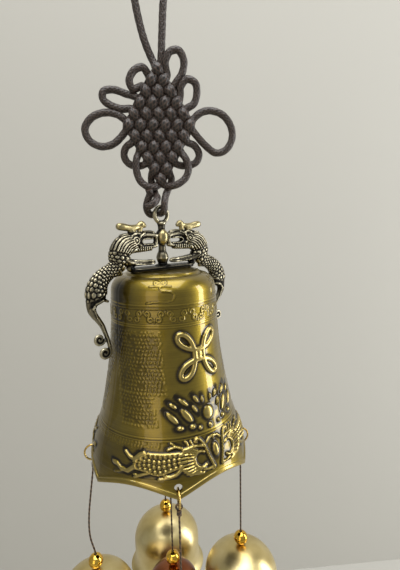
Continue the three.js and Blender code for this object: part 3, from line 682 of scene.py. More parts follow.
def sideCurve(shape):
    stations = []
    for up, out in sideShares:
        radius = mix(shape["shoulderRadius"], shape["mouthRadius"], out)
        stations.append(np.array((up * shape["shoulderHeight"], radius)))
    ends = [stations[0], *stations, stations[-1]]
    samples = []
    for k in range(1, len(ends) - 2):
        a, b, c, d = ends[k - 1 : k + 3]
        v0, v1 = (c - a) / 2, (d - b) / 2
        cubic, square = 2 * b - 2 * c + v0 + v1, 3 * c - 3 * b - 2 * v0 - v1
        for i in range(20):
            t = i / 20
            samples.append(cubic * t**3 + square * t**2 + v0 * t + b)
    samples.append(stations[-1])
    return np.array(samples[::-1])


sideSamples = sideCurve(bellShape)


def fromFlat(angle):
    width = 360 / bellShape["lobes"]
    return (angle - bellShape["rimPoint"]) % width - width / 2


def sideRadius(height):
    return np.interp(height, sideSamples[:, 0], sideSamples[:, 1])


# The flare's six sides are flattened a little between the rim's points
def bellRadius(angle, height):
    half = radians(180 / bellShape["lobes"])
    reach = bellShape["shoulderHeight"] * 0.6
    depth = bellShape["flatShare"] * smoothStep(0, reach, reach - height)
    return sideRadius(height) * (1 - depth * (1 - cos(half) / np.cos(np.radians(fromFlat(angle)))))


def rimHeight(angle):
    return bellShape["lobeRise"] * np.cos(np.radians(fromFlat(angle)) * bellShape["lobes"] / 2)


# Radius and height on the round shoulder; turn runs from 0 at the side to 90 at the crown's edge
def shoulderPoint(turn):
    across, up = cos(radians(turn)), sin(radians(turn))
    full = bellShape["shoulderFullness"]
    rise = full * up + (1 - full) * (1 - across)
    top = bellShape["crownHeight"] - bellShape["crownDrop"]
    return (
        mix(bellShape["crownEdge"], bellShape["shoulderRadius"], across),
        mix(bellShape["shoulderHeight"], top, rise),
    )


def addAttribute(piece, name, values):
    attribute = piece.data.attributes.new(name, "FLOAT", "POINT")
    attribute.data.foreach_set("value", np.asarray(values, dtype=np.float32))


def placesOf(piece):
    places = np.empty(len(piece.data.vertices) * 3)
    piece.data.vertices.foreach_get("co", places)
    return places.reshape(-1, 3)


def makeBell(shape):
    rise, lip, wall, proud = (shape[part] for part in ("lobeRise", "lipHeight", "wall", "lipProud"))
    crown, disc, fade = shape["crownHeight"], shape["crownDisc"], shape["scallopHeight"]
    under = crown - wall
    # Each row: radius (None on the bell's side), height, share of the scallop, how far it stands proud
    discEdge = ((-1.4, 0), (-0.7, 0.1), (-0.2, 0.4), (0, 1), (0.3, 1.35), (0.8, 1.2))
    rows = [(shape["boltHole"], crown, 0, 0), (9, crown, 0, 0)]
    rows += [(disc + out, crown - down, 0, 0) for out, down in discEdge]
    rows += [(*shoulderPoint(turn), 0, 0) for turn in range(90, 0, -9)]
    rows += [(None, mix(shape["shoulderHeight"], fade, k / 30), 0, 0) for k in range(30)]
    rows += [(None, mix(fade, rise + lip + 0.5, k / 14), smoothStep(0, 1, k / 14), 0) for k in range(15)]
    lipEdge = ((lip, 0.25), (lip - 0.15, 0.8), (lip - 0.5, 1), (0.5, 1), (0.12, 0.8), (0, 0.3))
    rows += [(None, rise + up, 1, proud * out) for up, out in lipEdge]
    rows += [(None, rise, 1, 0.3 - wall), (None, rise + 0.3, 1, -wall)]
    rows += [(None, mix(rise + lip, fade, k / 6), smoothStep(0, 1, 1 - k / 6), -wall) for k in range(7)]
    rows += [(None, mix(fade, shape["shoulderHeight"], k / 15), 0, -wall) for k in range(1, 16)]
    rows += [*shape["underShoulder"], (disc, under, 0, 0), (shape["boltHole"], under, 0, 0)]
    # The spin takes row numbers for heights and any radius on the side; the true ones follow per column
    anyRadius = 40
    profile = [(anyRadius if row[0] is None else row[0], -k) for k, row in enumerate(rows)]
    bell = spinProfile("BellBody", profile, shape["columns"], closed=True)
    for vertex in bell.data.vertices:
        radius, height, share, out = rows[round(-vertex.co.z * 1000)]
        angle = degrees(atan2(vertex.co.x, -vertex.co.y))
        height -= share * (rise - rimHeight(angle))
        if radius is None:
            radius = bellRadius(angle, height) + out
        vertex.co = aroundAxis(angle, radius, height)
    pick(bell)
    bpy.ops.object.mode_set(mode="EDIT")
    bpy.ops.mesh.select_all(action="SELECT")
    bpy.ops.mesh.normals_make_consistent(inside=False)
    bpy.ops.object.mode_set(mode="OBJECT")
    return bell


def drillBell(bell, shape):
    for name, height in shape["holeHeights"].items():
        angle = hangers[name]["angle"]
        drill = addMesh("cylinder", "Drill", vertices=32, radius=shape["ringHole"] * 0.001, depth=0.012)
        settle(drill, aroundAxis(angle, shape["holeDistance"], height), (pi / 2, 0, radians(angle)))
        applyModifier(bell, "BOOLEAN", operation="DIFFERENCE", solver="EXACT", object=drill)
        bpy.data.objects.remove(drill)


# Depth of the wash, with the heights that it rises and falls over: a little more in the band round the
# dragons; behind the handle's two bodies a much darker painted strip stands for their shade and reflection in
# the bell
washAndShadeShape = {
    "band": (0.2, (2, 10), (15, 30)),
    "paintedDragonShade": (0.7, (46, 62), (84, 90)),
    "paintedDragonShadeWidth": 13,
    "inside": 0.45,
    "lipShine": 0.45,
    "lipEdge": 0.3,
}


# The wash in the band, and the painted dark strip for the dragons' shade and reflection
def washAndShadeAt(angle, height):
    besideHandle = np.exp(-(((90 - np.abs(angle)) / washAndShadeShape["paintedDragonShadeWidth"]) ** 2))
    kinds = (washAndShadeShape["band"], washAndShadeShape["paintedDragonShade"])
    band, paintedDragonShade = (depth * between(height, *heights) for depth, *heights in kinds)
    return np.maximum(band, paintedDragonShade * besideHandle)


# The lip is rubbed bright, and the inside keeps its dark wash
def tarnishBell(bell, shape):
    places = placesOf(bell) * 1000
    radius = np.hypot(places[:, 0], places[:, 1])
    height = places[:, 2] + hangHeight
    angle = np.degrees(np.arctan2(places[:, 0], -places[:, 1]))
    outer = np.where(height > shape["shoulderHeight"], radius, bellRadius(angle, height))
    depth = 0.8
    inside = (radius < outer - depth) & (height < shape["crownHeight"] - 2 * depth)
    lip = (height - rimHeight(angle) < shape["lipHeight"] + washAndShadeShape["lipEdge"]) & ~inside
    # Outside, soot is the wash and the painted dark strip for the handle dragons' shade and reflection
    addAttribute(bell, "soot", np.where(inside, washAndShadeShape["inside"], np.where(lip, 0, washAndShadeAt(angle, height))))
    addAttribute(bell, "wear", np.where(lip, washAndShadeShape["lipShine"], 0))


# Heights raised on a surface that is laid out flat: x and y in millimetres for each of its points
def flatField(x, y):
    blank = {layer: np.zeros(len(x)) for layer in ("rise", "soot", "wear")}
    return {"x": x, "y": y, **blank}


def raiseBody(field, near, body, height, shine):
    field["rise"][near] = np.maximum(field["rise"][near], height * body)
    field["wear"][near] = np.maximum(field["wear"][near], shine * smoothStep(0.3, 0.85, body))


# A rounded top: 1 in the middle and 0 from where ratio is 1; a higher power makes it flatter
def domed(ratio, flat=2):
    return np.sqrt(np.clip(1 - ratio**flat, 0, 1))


def darken(field, near, distance, reach, depth):
    if reach:
        shade = depth * (1 - smoothStep(0, 1, distance / reach))
        field["soot"][near] = np.maximum(field["soot"][near], shade)


def raiseStroke(field, spots, halfWidth, height, soot=0, shine=1, flat=2):
    x, y = field["x"], field["y"]
    xs, ys = zip(*spots)
    margin = halfWidth + soot
    window = (x > min(xs) - margin) & (x < max(xs) + margin) & (y > min(ys) - margin) & (y < max(ys) + margin)
    near = np.nonzero(window)[0]
    if not len(near):
        return
    distance = np.full(len(near), 1000.0)
    for (x0, y0), (x1, y1) in zip(spots, spots[1:]):
        dx, dy = x1 - x0, y1 - y0
        share = ((x[near] - x0) * dx + (y[near] - y0) * dy) / max(dx * dx + dy * dy, 1e-9)
        share = np.clip(share, 0, 1)
        distance = np.minimum(distance, np.hypot(x[near] - x0 - share * dx, y[near] - y0 - share * dy))
    raiseBody(field, near, domed(distance / halfWidth, flat), height, shine)
    darken(field, near, np.maximum(distance - halfWidth, 0), soot, mix(0.3, 0.75, shine))


# An oval that leans to the left at its top by lean degrees
def raiseOval(field, centre, halfWidth, halfHeight, lean, height, soot=0, shine=1, flat=2.5):
    x, y = field["x"] - centre[0], field["y"] - centre[1]
    near = np.nonzero(np.hypot(x, y) < max(halfWidth, halfHeight) + soot)[0]
    turn = radians(lean)
    across = x[near] * cos(turn) + y[near] * sin(turn)
    along = y[near] * cos(turn) - x[near] * sin(turn)
    size = np.hypot(across / halfWidth, along / halfHeight)
    raiseBody(field, near, domed(size, flat), height, shine)
    darken(field, near, np.maximum(size - 1, 0) * min(halfWidth, halfHeight), soot, 0.75)


# Rows of small seeds, each turned its own way, with gaps between some of them. reach is their half width
# as a share of the pitch, and kept the share of them that is there.
seedShape = {"height": 0.22, "reach": 0.24, "shine": 0.22, "soot": 0.32, "sootReach": 2.5, "kept": 0.9}


def raiseSeeds(field, left, right, bottom, top, pitch):
    x, y = np.abs(field["x"]), field["y"]
    near = np.nonzero((x > left) & (x < right) & (y > bottom) & (y < top))[0]
    v = y[near] / pitch
    row = np.floor(v)
    u = x[near] / pitch + 0.5 * (row % 2) + 0.3 * np.sin(row * 7.1)
    column = np.floor(u)
    # The usual sine hash gives each seed its own turn
    scatter = np.modf(np.abs(np.sin(column * 12.9898 + row * 78.233) * 43758.5453))[0]
    turn = pi * scatter
    across, up = (u - column - 0.5) * pitch, (v - row - 0.5) * pitch
    along = across * np.cos(turn) + up * np.sin(turn)
    beside = up * np.cos(turn) - across * np.sin(turn)
    reach = seedShape["reach"] * pitch
    body = domed(np.hypot(np.maximum(np.abs(along) - reach, 0), beside) / reach)
    body[scatter > seedShape["kept"]] = 0
    raiseBody(field, near, body, seedShape["height"], seedShape["shine"])
    sides = np.minimum(x[near] - left, right - x[near])
    edge = np.minimum(sides, np.minimum(y[near] - bottom, top - y[near]))
    darken(field, near, 1 - smoothStep(0, seedShape["sootReach"], edge), 1, seedShape["soot"])


def raiseLine(field, height, halfWidth=0.3, rise=0.2, soot=0.4):
    distance = np.abs(field["y"] - height)
    near = np.nonzero(distance < halfWidth + soot)[0]
    raiseBody(field, near, domed(distance[near] / halfWidth), rise, 0.5)
    darken(field, near, np.maximum(distance[near] - halfWidth, 0), soot, 0.5)


def curl(centre, start, turns, outer, inner, steps=18):
    spots = []
    count = max(4, round(abs(turns) * steps))
    for k in range(count + 1):
        angle = radians(start) + k / count * turns * 2 * pi
        radius = mix(outer, inner, k / count)
        spots.append((centre[0] + radius * cos(angle), centre[1] + radius * sin(angle)))
    return spots


# A place on the bell, given by its angle and height, laid out flat
def unrolled(angle, height):
    return radians(angle) * float(sideRadius(height)), height


# side is 1 for ornaments as they are listed and -1 for their mirror image
def unrolledPath(spots, side):
    return [unrolled(angle * side, height) for angle, height in spots]


# Ornaments of one half, by angle from its middle and height: a knot, a lotus and two dragons with a pearl
lineHeights = (76.1, 77.4, 68.3, 69.3, 22.4, 23.5)
scrollShape = {"count": 16, "height": 72.8, "tickAcross": 2.3, "tickHeights": (2.4, 1.2)}
# Seeds on both sides of the knot, and a low row over the dragons' tails: left, right, bottom, top, pitch
seedFields = [(16.6, 39.4, 40, 66.5, 1.6), (22.8, 39.8, 27.5, 42, 1.6), (23.5, 54, 18.9, 21.9, 1.5)]
knotShape = {"place": (-2, 55.6), "round": 7.4, "loops": 5.3, "middle": 1.7, "height": 1.15, "soot": 1.8}
lotusPetals = [
    # angle, height, half width, half height, lean
    (-20, 31.5, 1.45, 3.7, 35),
    (-32, 31.2, 1.15, 3.4, 40),
    (-31, 36, 0.8, 1.9, 50),
    (-22, 37, 0.85, 2.6, 48),
    (-12.5, 33.5, 0.7, 1.9, 30),
    (-10.5, 37.3, 0.8, 1.9, 35),
    (-4.4, 36.6, 0.6, 1.4, 6),
    (-26, 26.8, 1.5, 0.9, 0),
    (-15.8, 26.6, 1.3, 1, 0),
    (-9.5, 25.5, 0.8, 0.8, 0),
]
lotusHeart = [(0, 30.6, 2.95, 3, 0), (0, 25.3, 1.1, 1.1, 0)]
dragonStrokes = [
    # half width, height, then (angle, height) along the stroke
    (0.8, 0.75, [(-52.7, 18), (-56, 17.2), (-59.7, 15.2), (-63.5, 15.8), (-67.1, 17.4)]),
    (0.9, 0.75, [(-58.8, 12.7), (-64.1, 10.3), (-69.5, 10.7), (-72.6, 12), (-76.2, 12.2)]),
    (0.5, 0.6, [(-66.8, 10.4), (-70.9, 9.2), (-74, 8.6)]),
    (0.6, 0.8, [(-48.2, 10.8), (-52.7, 10), (-56, 9.2), (-58.6, 8.4)]),
    (0.45, 0.7, [(-56, 9.2), (-59.2, 9.6)]),
    (0.7, 0.9, [(-28.1, 11.4), (-31, 10), (-34.4, 9.2), (-39, 8.6), (-42.2, 8.3)]),
    (0.5, 0.8, [(-34.4, 9.2), (-39, 9.9)]),
    (0.7, 0.9, [(-26.4, 11.6), (-22.6, 9.6), (-17.6, 8.9), (-12.4, 8.4)]),
    (0.5, 0.8, [(-20.6, 9.2), (-17, 10)]),
    (0.5, 0.9, [(-26.4, 19.4), (-30.4, 20.2), (-33.1, 19.8), (-36.3, 19.2)]),
    (0.4, 0.8, [(-30.4, 20.2), (-32.2, 21.2), (-33.8, 21.6)]),
    (0.4, 0.8, [(-21.2, 19.6), (-22, 20.8), (-23.2, 21.7)]),
    (0.4, 0.8, [(-18, 19.6), (-18.7, 20.7), (-19.4, 21.6)]),
    (0.55, 1, [(-25.3, 18.6), (-20, 19), (-14.6, 19), (-8.4, 18.2)]),
    (0.55, 1.05, [
        (-14.9, 21.2), (-13.9, 21.8), (-11.9, 21.3), (-9.9, 19.8), (-8.2, 17.7), (-6.1, 13.4), (-3.4, 9.2),
    ]),
    (0.5, 0.9, [(-11.9, 9.6), (-8.4, 9.1), (-5.8, 9.2)]),
    (0.45, 0.8, [(-6.6, 19.2), (-4, 20.6), (0, 21), (0, 20)]),
]
dragonSpine = [
    # angle, height, half height of the body
    (-60.3, 13.2, 1.1), (-58, 13.4, 1.7), (-54.8, 14, 2.4), (-50, 14.6, 3.3), (-45.9, 14, 3.7),
    (-42.4, 13.8, 3.8), (-39.6, 14, 3.6), (-36.7, 14.3, 3.3), (-33.9, 14.6, 3.1), (-30.4, 15, 2.8),
    (-26, 15, 2.4),
]
dragonCurls = [(-15.4, 20.9, 0.8), (-4.6, 8.9, 0.8)]
dragonMouth = (-12.8, 13.7)
# Hairs turn from start by step degrees each. root and reach are distances from the mouth, and longer is
# what hairs that point straight back have on top.
maneShape = {"hairs": 10, "start": 105, "step": 17, "root": 3.7, "reach": 5.4, "longer": 4}
scaleShape = {"rows": (-1.5, -0.5, 0.5, 1.5), "columns": 10, "first": -59, "step": 3.4, "bend": 0.4}
pearlPlace = (0, 15.4)
cloudPlace = (-38.5, 87)
hookPath = [
    (-52, 78.3), (-46, 78.9), (-39, 79.1), (-32, 79), (-27, 79.4), (-24.6, 80.6), (-25, 82), (-28, 83),
    (-33, 83.3), (-37, 83.4), (-39.2, 84.4), (-38, 85.4),
]
# Kinds of stroke: half width, height, reach of the wash beside it, how bright its top is rubbed, and the
# power that makes its top flat
strokeKinds = {
    "scroll": (0.36, 0.3, 0.45, 0.5),
    "tick": (0.3, 0.2, 0.3, 0.3),
    "knot": (1.1, knotShape["height"], knotShape["soot"], 1, 4),
    "bodyEdge": (0.4, 0.95, 1.6),
    "mouth": (0.55, 1.15, 2),
    "hair": (0.42, 1, 0.8),
    "curl": (0.36, 0.8, 1.2),
    "hook": (0.4, 0.28, 0.45, 0.4),
    "cloud": (0.32, 0.25, 0.4, 0.4),
    "cloudFoot": (0.3, 0.2, 0.4, 0.4),
}


def raiseKind(field, kind, spots):
    raiseStroke(field, spots, *strokeKinds[kind])


# Running scroll under the shoulder: each S is the mirror image of the one before
def raiseScroll(field, shape):
    half = curl((-0.72, 1.12), -57, 1.12, 1.3, 0.5)
    scroll = [(-x, -y) for x, y in half[::-1]] + half
    for k in range(shape["count"]):
        x0, y0 = unrolled((k + 0.5) * 180 / shape["count"] - 90, shape["height"])
        way = 1 if k % 2 else -1
        raiseKind(field, "scroll", [(x0 + way * x, y0 + y) for x, y in scroll])
        for side in (-1, 1):
            x = x0 - side * way * shape["tickAcross"]
            raiseKind(field, "tick", [(x, y0 + side * y) for y in shape["tickHeights"]])


# A knot of one looped line, turned by an eighth of a circle
def raiseKnot(field, shape):
    middle = unrolled(*shape["place"])
    loops = []
    steps = 120
    for k in range(steps + 1):
        turn = 2 * pi * k / steps
        x = shape["round"] * cos(turn) + shape["loops"] * cos(3 * turn)
        y = shape["round"] * sin(turn) - shape["loops"] * sin(3 * turn)
        loops.append((middle[0] + (x + y) * 0.7071, middle[1] + (y - x) * 0.7071))
    raiseKind(field, "knot", loops)
    half = shape["middle"]
    raiseOval(field, middle, half, half, lean=0, height=shape["height"], soot=shape["soot"])


def raiseDragon(field, side):
    for halfWidth, height, spots in dragonStrokes:
        shine = 1 if height > 0.65 else 0.35
        raiseStroke(field, unrolledPath(spots, side), halfWidth, height, soot=2.2, shine=shine)
    for (angle, height, half), (nextAngle, nextHeight, _) in zip(dragonSpine, dragonSpine[1:]):
        piece = unrolledPath([(angle, height), (nextAngle, nextHeight)], side)
        raiseStroke(field, piece, half * 0.9, height=0.6, soot=2, shine=0)
    for way in (-1, 1):
        edge = [(angle, height + way * half) for angle, height, half in dragonSpine]
        raiseKind(field, "bodyEdge", unrolledPath(edge, side))
    angles, heights, halves = zip(*dragonSpine)
    for column in range(scaleShape["columns"]):
        angle = scaleShape["first"] + column * scaleShape["step"]
        height, half = np.interp(angle, angles, heights), np.interp(angle, angles, halves)
        for row in scaleShape["rows"]:
            scale = unrolled(side * (angle + scaleShape["bend"] * row * row), height + row * half / 2)
            raiseOval(field, scale, 0.92, half / 4.2, lean=0, height=1.2, soot=0.5)
    # The open mouth and the mane swept back from it
    mouth = unrolled(dragonMouth[0] * side, dragonMouth[1])
    raiseKind(field, "mouth", curl(mouth, 90 - side * 40, side * 0.72, 3.1, 3.1))
    for hair in range(maneShape["hairs"]):
        start = maneShape["start"] + hair * maneShape["step"]
        end = mix(start, 180, 0.5)
        root = maneShape["root"]
        reach = maneShape["reach"] + maneShape["longer"] * cos(radians(end)) ** 2
        spots = []
        for radius, turn in ((root, start), (mix(root, reach, 0.5), mix(start, end, 0.6)), (reach, end)):
            turn = radians(turn)
            spots.append((mouth[0] + side * radius * cos(turn), mouth[1] + radius * sin(turn)))
        raiseKind(field, "hair", spots)
    for angle, height, radius in dragonCurls:
        raiseKind(field, "curl", curl(unrolled(side * angle, height), 90, -side * 0.9, radius, 0.35))


def raiseCloud(field, side):
    raiseKind(field, "hook", unrolledPath(hookPath, side))
    x, y = unrolled(cloudPlace[0] * side, cloudPlace[1])
    for way in (-1, 1):
        raiseKind(field, "cloud", curl((x + way * 1.9, y), 90 + way * 90, -way * 1.2, 1.3, 0.4))
        raiseKind(field, "cloudFoot", [(x, y - 1.4), (x + way * 4.6, y - 1.6)])


def raiseOrnaments(field):
    for height in lineHeights:
        raiseLine(field, height)
    raiseScroll(field, scrollShape)
    for bounds in seedFields:
        raiseSeeds(field, *bounds)
    raiseKnot(field, knotShape)
    for angle, height, halfWidth, halfHeight, lean in lotusHeart:
        raiseOval(field, unrolled(angle, height), halfWidth, halfHeight, lean, height=1, soot=2.4)
    for side in (-1, 1):
        for angle, height, halfWidth, halfHeight, lean in lotusPetals:
            place = unrolled(side * angle, height)
            raiseOval(field, place, halfWidth, halfHeight, side * lean, height=0.9, soot=2.2)
        raiseDragon(field, side)
        raiseCloud(field, side)
    raiseOval(field, unrolled(*pearlPlace), 1.6, 2.9, lean=0, height=1.3, soot=2.2)
    # The wash and the painted dark strip for the dragons' shade and reflection join the relief's own wash
    angle = np.degrees(field["x"] / sideRadius(field["y"]))
    field["soot"] = np.maximum(field["soot"], washAndShadeAt(angle, field["y"])) * (1 - 0.9 * field["wear"])


# Each half of the side is one thin closed shell that stands 0.04 mm proud of the cast wall and dips
# into it along its edges; its back has fewer rows. It rises over the two ring holes that it would cover.
reliefShape = {
    "meanRadius": 29,
    "lowest": 7.6,
    "highest": 90,
    "step": 0.3,
    "proud": 0.04,
    "dip": 0.22,
    "fade": 0.7,
    "depth": 0.5,
    "backEvery": 8,
    "holeAngle": 60,
    "holeWidth": 7,
    "holeLift": 2.8,
    "holeFade": 8,
}


def quads(*corners):
    return np.stack(corners, -1).reshape(-1, 4).tolist()


def makeRelief(name, middle, shape):
    low, high, every = shape["lowest"], shape["highest"], shape["backEvery"]
    rowCount = every * round((high - low) / shape["step"] / every)
    columnCount = round(pi * shape["meanRadius"] / shape["step"])
    rows, angles = np.linspace(low, high, rowCount + 1), np.linspace(-90, 90, columnCount + 1)
    level, angle = np.meshgrid(rows, angles, indexing="ij")
    lift = shape["holeLift"] * np.exp(-(((angle - shape["holeAngle"]) / shape["holeWidth"]) ** 2))
    level = level + lift * (1 - smoothStep(low, low + shape["holeFade"], level))
    # Above the side the level runs on along the shoulder's arc
    radii, heights = zip(*(shoulderPoint(turn) for turn in range(91)))
    arcs = np.concatenate(([0], np.cumsum(np.hypot(np.diff(radii), np.diff(heights)))))
    over = level - bellShape["shoulderHeight"]
    radius = np.where(over <= 0, bellRadius(angle + middle, level), np.interp(over, arcs, radii))
    height = np.where(over <= 0, level, np.interp(over, arcs, heights))
    turn = np.radians(angle + middle)
    places = np.stack([radius * np.sin(turn), -radius * np.cos(turn), height - hangHeight], axis=-1)
    outwards = np.cross(np.gradient(places, axis=1), np.gradient(places, axis=0))
    outwards /= np.linalg.norm(outwards, axis=-1, keepdims=True)

    field = flatField((np.radians(angle) * sideRadius(level)).ravel(), level.ravel())
    raiseOrnaments(field)
    rise = field["rise"].reshape(level.shape)
    # A light blur keeps steep edges from breaking into steps
    for axis in (0, 1):
        rise = rise * 0.6 + (np.roll(rise, 1, axis) + np.roll(rise, -1, axis)) * 0.2
    edge = np.minimum(level - level[0], level[-1] - level)
    edge = np.minimum(edge, (90 - np.abs(angle)) * radians(1) * radius)
    inner = smoothStep(0, shape["fade"], edge)
    proud = shape["proud"] - shape["dip"] * (1 - inner) + rise * inner
    front = places + outwards * proud[..., None]
    back = (places - outwards * shape["depth"])[::every]

    width = columnCount + 1
    index = np.arange(front.shape[0] * width).reshape(-1, width)
    behind = index.size + np.arange(back.shape[0] * width).reshape(-1, width)
    faces = quads(index[:-1, :-1], index[:-1, 1:], index[1:, 1:], index[1:, :-1])
    faces += quads(behind[:-1, :-1], behind[1:, :-1], behind[1:, 1:], behind[:-1, 1:])
    faces += quads(index[0, :-1], behind[0, :-1], behind[0, 1:], index[0, 1:])
    faces += quads(index[-1, :-1], index[-1, 1:], behind[-1, 1:], behind[-1, :-1])
    for k in range(back.shape[0] - 1):
        left, right = index[k * every : (k + 1) * every + 1, [0, -1]].T.tolist()
        faces.append([*left, int(behind[k + 1, 0]), int(behind[k, 0])])
        faces.append([*right[::-1], int(behind[k, -1]), int(behind[k + 1, -1])])
    mesh = bpy.data.meshes.new(name)
    corners = np.concatenate([front.reshape(-1, 3), back.reshape(-1, 3)]) * 0.001
    mesh.from_pydata(corners.tolist(), [], faces)
    relief = linkObject(name, mesh)
    blank = np.zeros(back.shape[0] * width)
    for layer in ("soot", "wear"):
        addAttribute(relief, layer, np.concatenate([field[layer], blank]))
    smooth(relief, 60)
    return relief


# Aged brass, brushed and lacquered: olive gold in the open, near black in the hollows, tan on the tops
agedBrass = makeWashedMetal(
    "AgedBrushedBrass",
    [
        (0, "#120E08"), (0.2, "#2A220E"), (0.4, "#69591B"), (0.55, "#877427"), (0.78, "#9A8642"),
        (1, "#AC9858"),
    ],
    "#C9AE66",
    (0.28, 0.44),
    0.18,
    0.6,
)
bellBody = makeBell(bellShape)
drillBell(bellBody, bellShape)
tarnishBell(bellBody, bellShape)
smooth(bellBody, 35)
dress(bellBody, "bell", "aged_brass", agedBrass, "bell_shell")
for name, middle in (("ReliefFront", 0), ("ReliefBack", 180)):
    dress(makeRelief(name, middle, reliefShape), "bell", "aged_brass", agedBrass)
print("bell cast")


# Jump rings of drawn brass wire: bright, with faint lines from the die
ringBrass = makeMetal("DrawnBrassWire", ("#A98A45", "#D2B56C"), (0.18, 0.36), 0.01)
for name, hanger in hangers.items():
    place, across = hangPlace(name, hanger["ring"]), hanger["angle"] + 90
    ring = uprightRing("Ring" + name.title(), place, across, ringRadius(name), ringShape["wire"], 48, 12)
    dress(ring, name + "_ring", "ring_brass", ringBrass, "ring_" + name)
print("rings hung")


# Beads and small bells: the upper share of a bell is a dome, and its side flares by a high power
domeShare = 0.5
flarePower = 8
bellSizes = {
    "outer": {"radius": 19.2, "lip": 22, "height": 33},
    "middle": {"radius": 13.2, "lip": 13.6, "height": 24},
}


def smallBellSide(size, offset):
    dome = size["height"] * domeShare
    rows = [(threadHole, -offset)]
    for k in range(1, 19):
        turn = k / 18 * pi / 2
        rows.append(((size["radius"] - offset) * sin(turn), -offset - (dome - offset) * (1 - cos(turn))))
    for k in range(1, 13):
        flared = (size["lip"] - size["radius"]) * (k / 12) ** flarePower
        rows.append((size["radius"] - offset + flared, -mix(dome, size["height"], k / 12)))
    return rows


def smallBellProfile(size):
    lip, height = size["lip"], size["height"]
    outside = smallBellSide(size, 0)[::-1]
    # Rounded lip
    outside[:1] = [(lip - smallWall * 0.3, -height), (lip - smallWall * 0.05, -height + 0.15)]
    return outside + smallBellSide(size, smallWall)


def makeBead(name):
    start = acos(threadHole / beadRadius)
    turns = [mix(-start, start, k / 36) for k in range(37)]
    profile = [(beadRadius * cos(turn), beadRadius * sin(turn)) for turn in turns]
    return spinProfile(name, profile, steps=64, closed=True)


# Gold plate, polished like a mirror; champagne gold plate on spun brass, satin; copper plate, polished
beadGold = makeMetal("PolishedGoldPlate", ("#D9A93C", "#EFC558"), (0.06, 0.14), 0.004)
paleGold = makeMetal("SatinChampagnePlate", ("#C8B47A", "#DCCB98"), (0.3, 0.38), 0.002)
copperPlate = makeMetal("PolishedCopperPlate", ("#75422A", "#9A6140"), (0.12, 0.24), 0.008)
for name, hanger in hangers.items():
    size = bellSizes["middle" if name == "middle" else "outer"]
    bead = makeBead("Bead" + name.title())
    settle(bead, hangPlace(name, beadTop(name) - beadRadius, hanger["lean"]))
    smooth(bead)
    dress(bead, bodyOf(name), "polished_gold", beadGold, "bead_" + name)
    small = spinProfile("SmallBell" + name.title(), smallBellProfile(size), steps=96, closed=True)
    settle(small, hangPlace(name, bellTop(name), hanger["lean"]))
    smooth(small, 50)
    finish = copperPlate if name == "middle" else paleGold
    slot = "copper" if name == "middle" else "pale_gold"
    dress(small, bodyOf(name), slot, finish, "small_bell_" + name)
    thread = threads[name]
print("small bells hung")


# Handle: two dragons that face a pearl, cast in one piece with their base, post and eye. A rod has its
# thickness as a share of its width, then stations: distance from the axis, height over the base, half width.
dragonRods = {
    "body": (0.62, [
        (19.8, 10.6, 4.6), (21.9, 7.3, 4.8), (22.4, 4.9, 4.7), (23.4, 2.3, 4), (26, 0.3, 3.1),
        (29.2, -1.5, 3.4), (31.8, -3.9, 3.95), (33.2, -6.7, 4.55), (33.7, -9.5, 4.7), (33.4, -10.9, 4.2),
    ]),
    "skull": (0.62, [(19.6, 10.9, 4.4), (16, 11.5, 4.1), (13, 11.9, 3), (11.6, 12.1, 2)]),
    "upperLip": (1.25, [(13, 13.7, 1.7), (10, 14.3, 1.4), (7, 14.2, 1.3), (3.2, 13.6, 1.3)]),
    "nose": (1.3, [(9.4, 15.3, 0.9), (7, 15.5, 0.8), (5, 15, 1)]),
    "lowerLip": (1.4, [(12.6, 9.9, 1.6), (10, 9, 1.2), (7.4, 8.8, 1.1), (3.6, 9.5, 1.1)]),
    "teeth": (1.4, [(4.2, 13.9, 1.2), (3.4, 11.7, 0.9), (3.9, 9.7, 1.1)]),
    "mouthRim": (3.4, [
        (5.6, 12.6, 0.5), (9.2, 12.6, 0.5), (10.8, 12.1, 0.5), (11.3, 11.3, 0.5), (10.8, 10.6, 0.5),
        (9.2, 10.1, 0.5), (5.6, 10.1, 0.5),
    ]),
    "beard": (1.5, [(18, 8.1, 1.6), (12.5, 8, 1.2), (6.4, 8.1, 0.9)]),
    "horn": (1, [
        (9.2, 18.3, 1.1), (10.5, 18.9, 1.55), (12.1, 18.1, 1.2), (14, 17.5, 1.4), (17, 17.5, 1.5),
        (19.8, 18, 1.65), (21.4, 18.2, 1.6),
    ]),
    "hornRoot": (1.1, [(15, 14.5, 2), (16, 16.3, 1.6), (16.6, 17.3, 1.1)]),
    "hornFoot": (1.1, [(12.2, 14.2, 1.5), (11.2, 16.7, 1), (10.8, 18.3, 1)]),
    "foreLeg": (1.15, [
        (20, 4.1, 2.6), (17.2, 2.7, 1.9), (13, 2.3, 1.45), (9, 2.1, 1.25), (6.2, 2.1, 1.3), (4.8, 2, 0.9),
    ]),
    "elbow": (1, [(17.4, 1.9, 1.8), (17.2, 0.3, 1.7), (15.6, -0.7, 1.3)]),
    "hindLeg": (0.9, [(25.4, -0.7, 2), (23.4, -1.2, 1.5), (22, -1.6, 1.1)]),
    "tailRoot": (0.8, [(34.6, -9.8, 3.7), (36.3, -12.7, 2.1), (36.3, -14.9, 1.8)]),
    "tail": (0.95, [
        (28.7, -12.6, 0.5), (30, -11.9, 0.75), (31.8, -11.8, 0.95), (33.6, -12.3, 1.3), (35.3, -13.4, 1.7),
        (36.1, -14.9, 1.9), (35.3, -17.2, 1.6), (33.3, -20.2, 1.3), (31.7, -22.9, 1.15), (30.7, -25.7, 1),
        (29.7, -28.7, 0.95), (29, -31.7, 0.9), (28.65, -34.2, 0.8),
    ]),
}
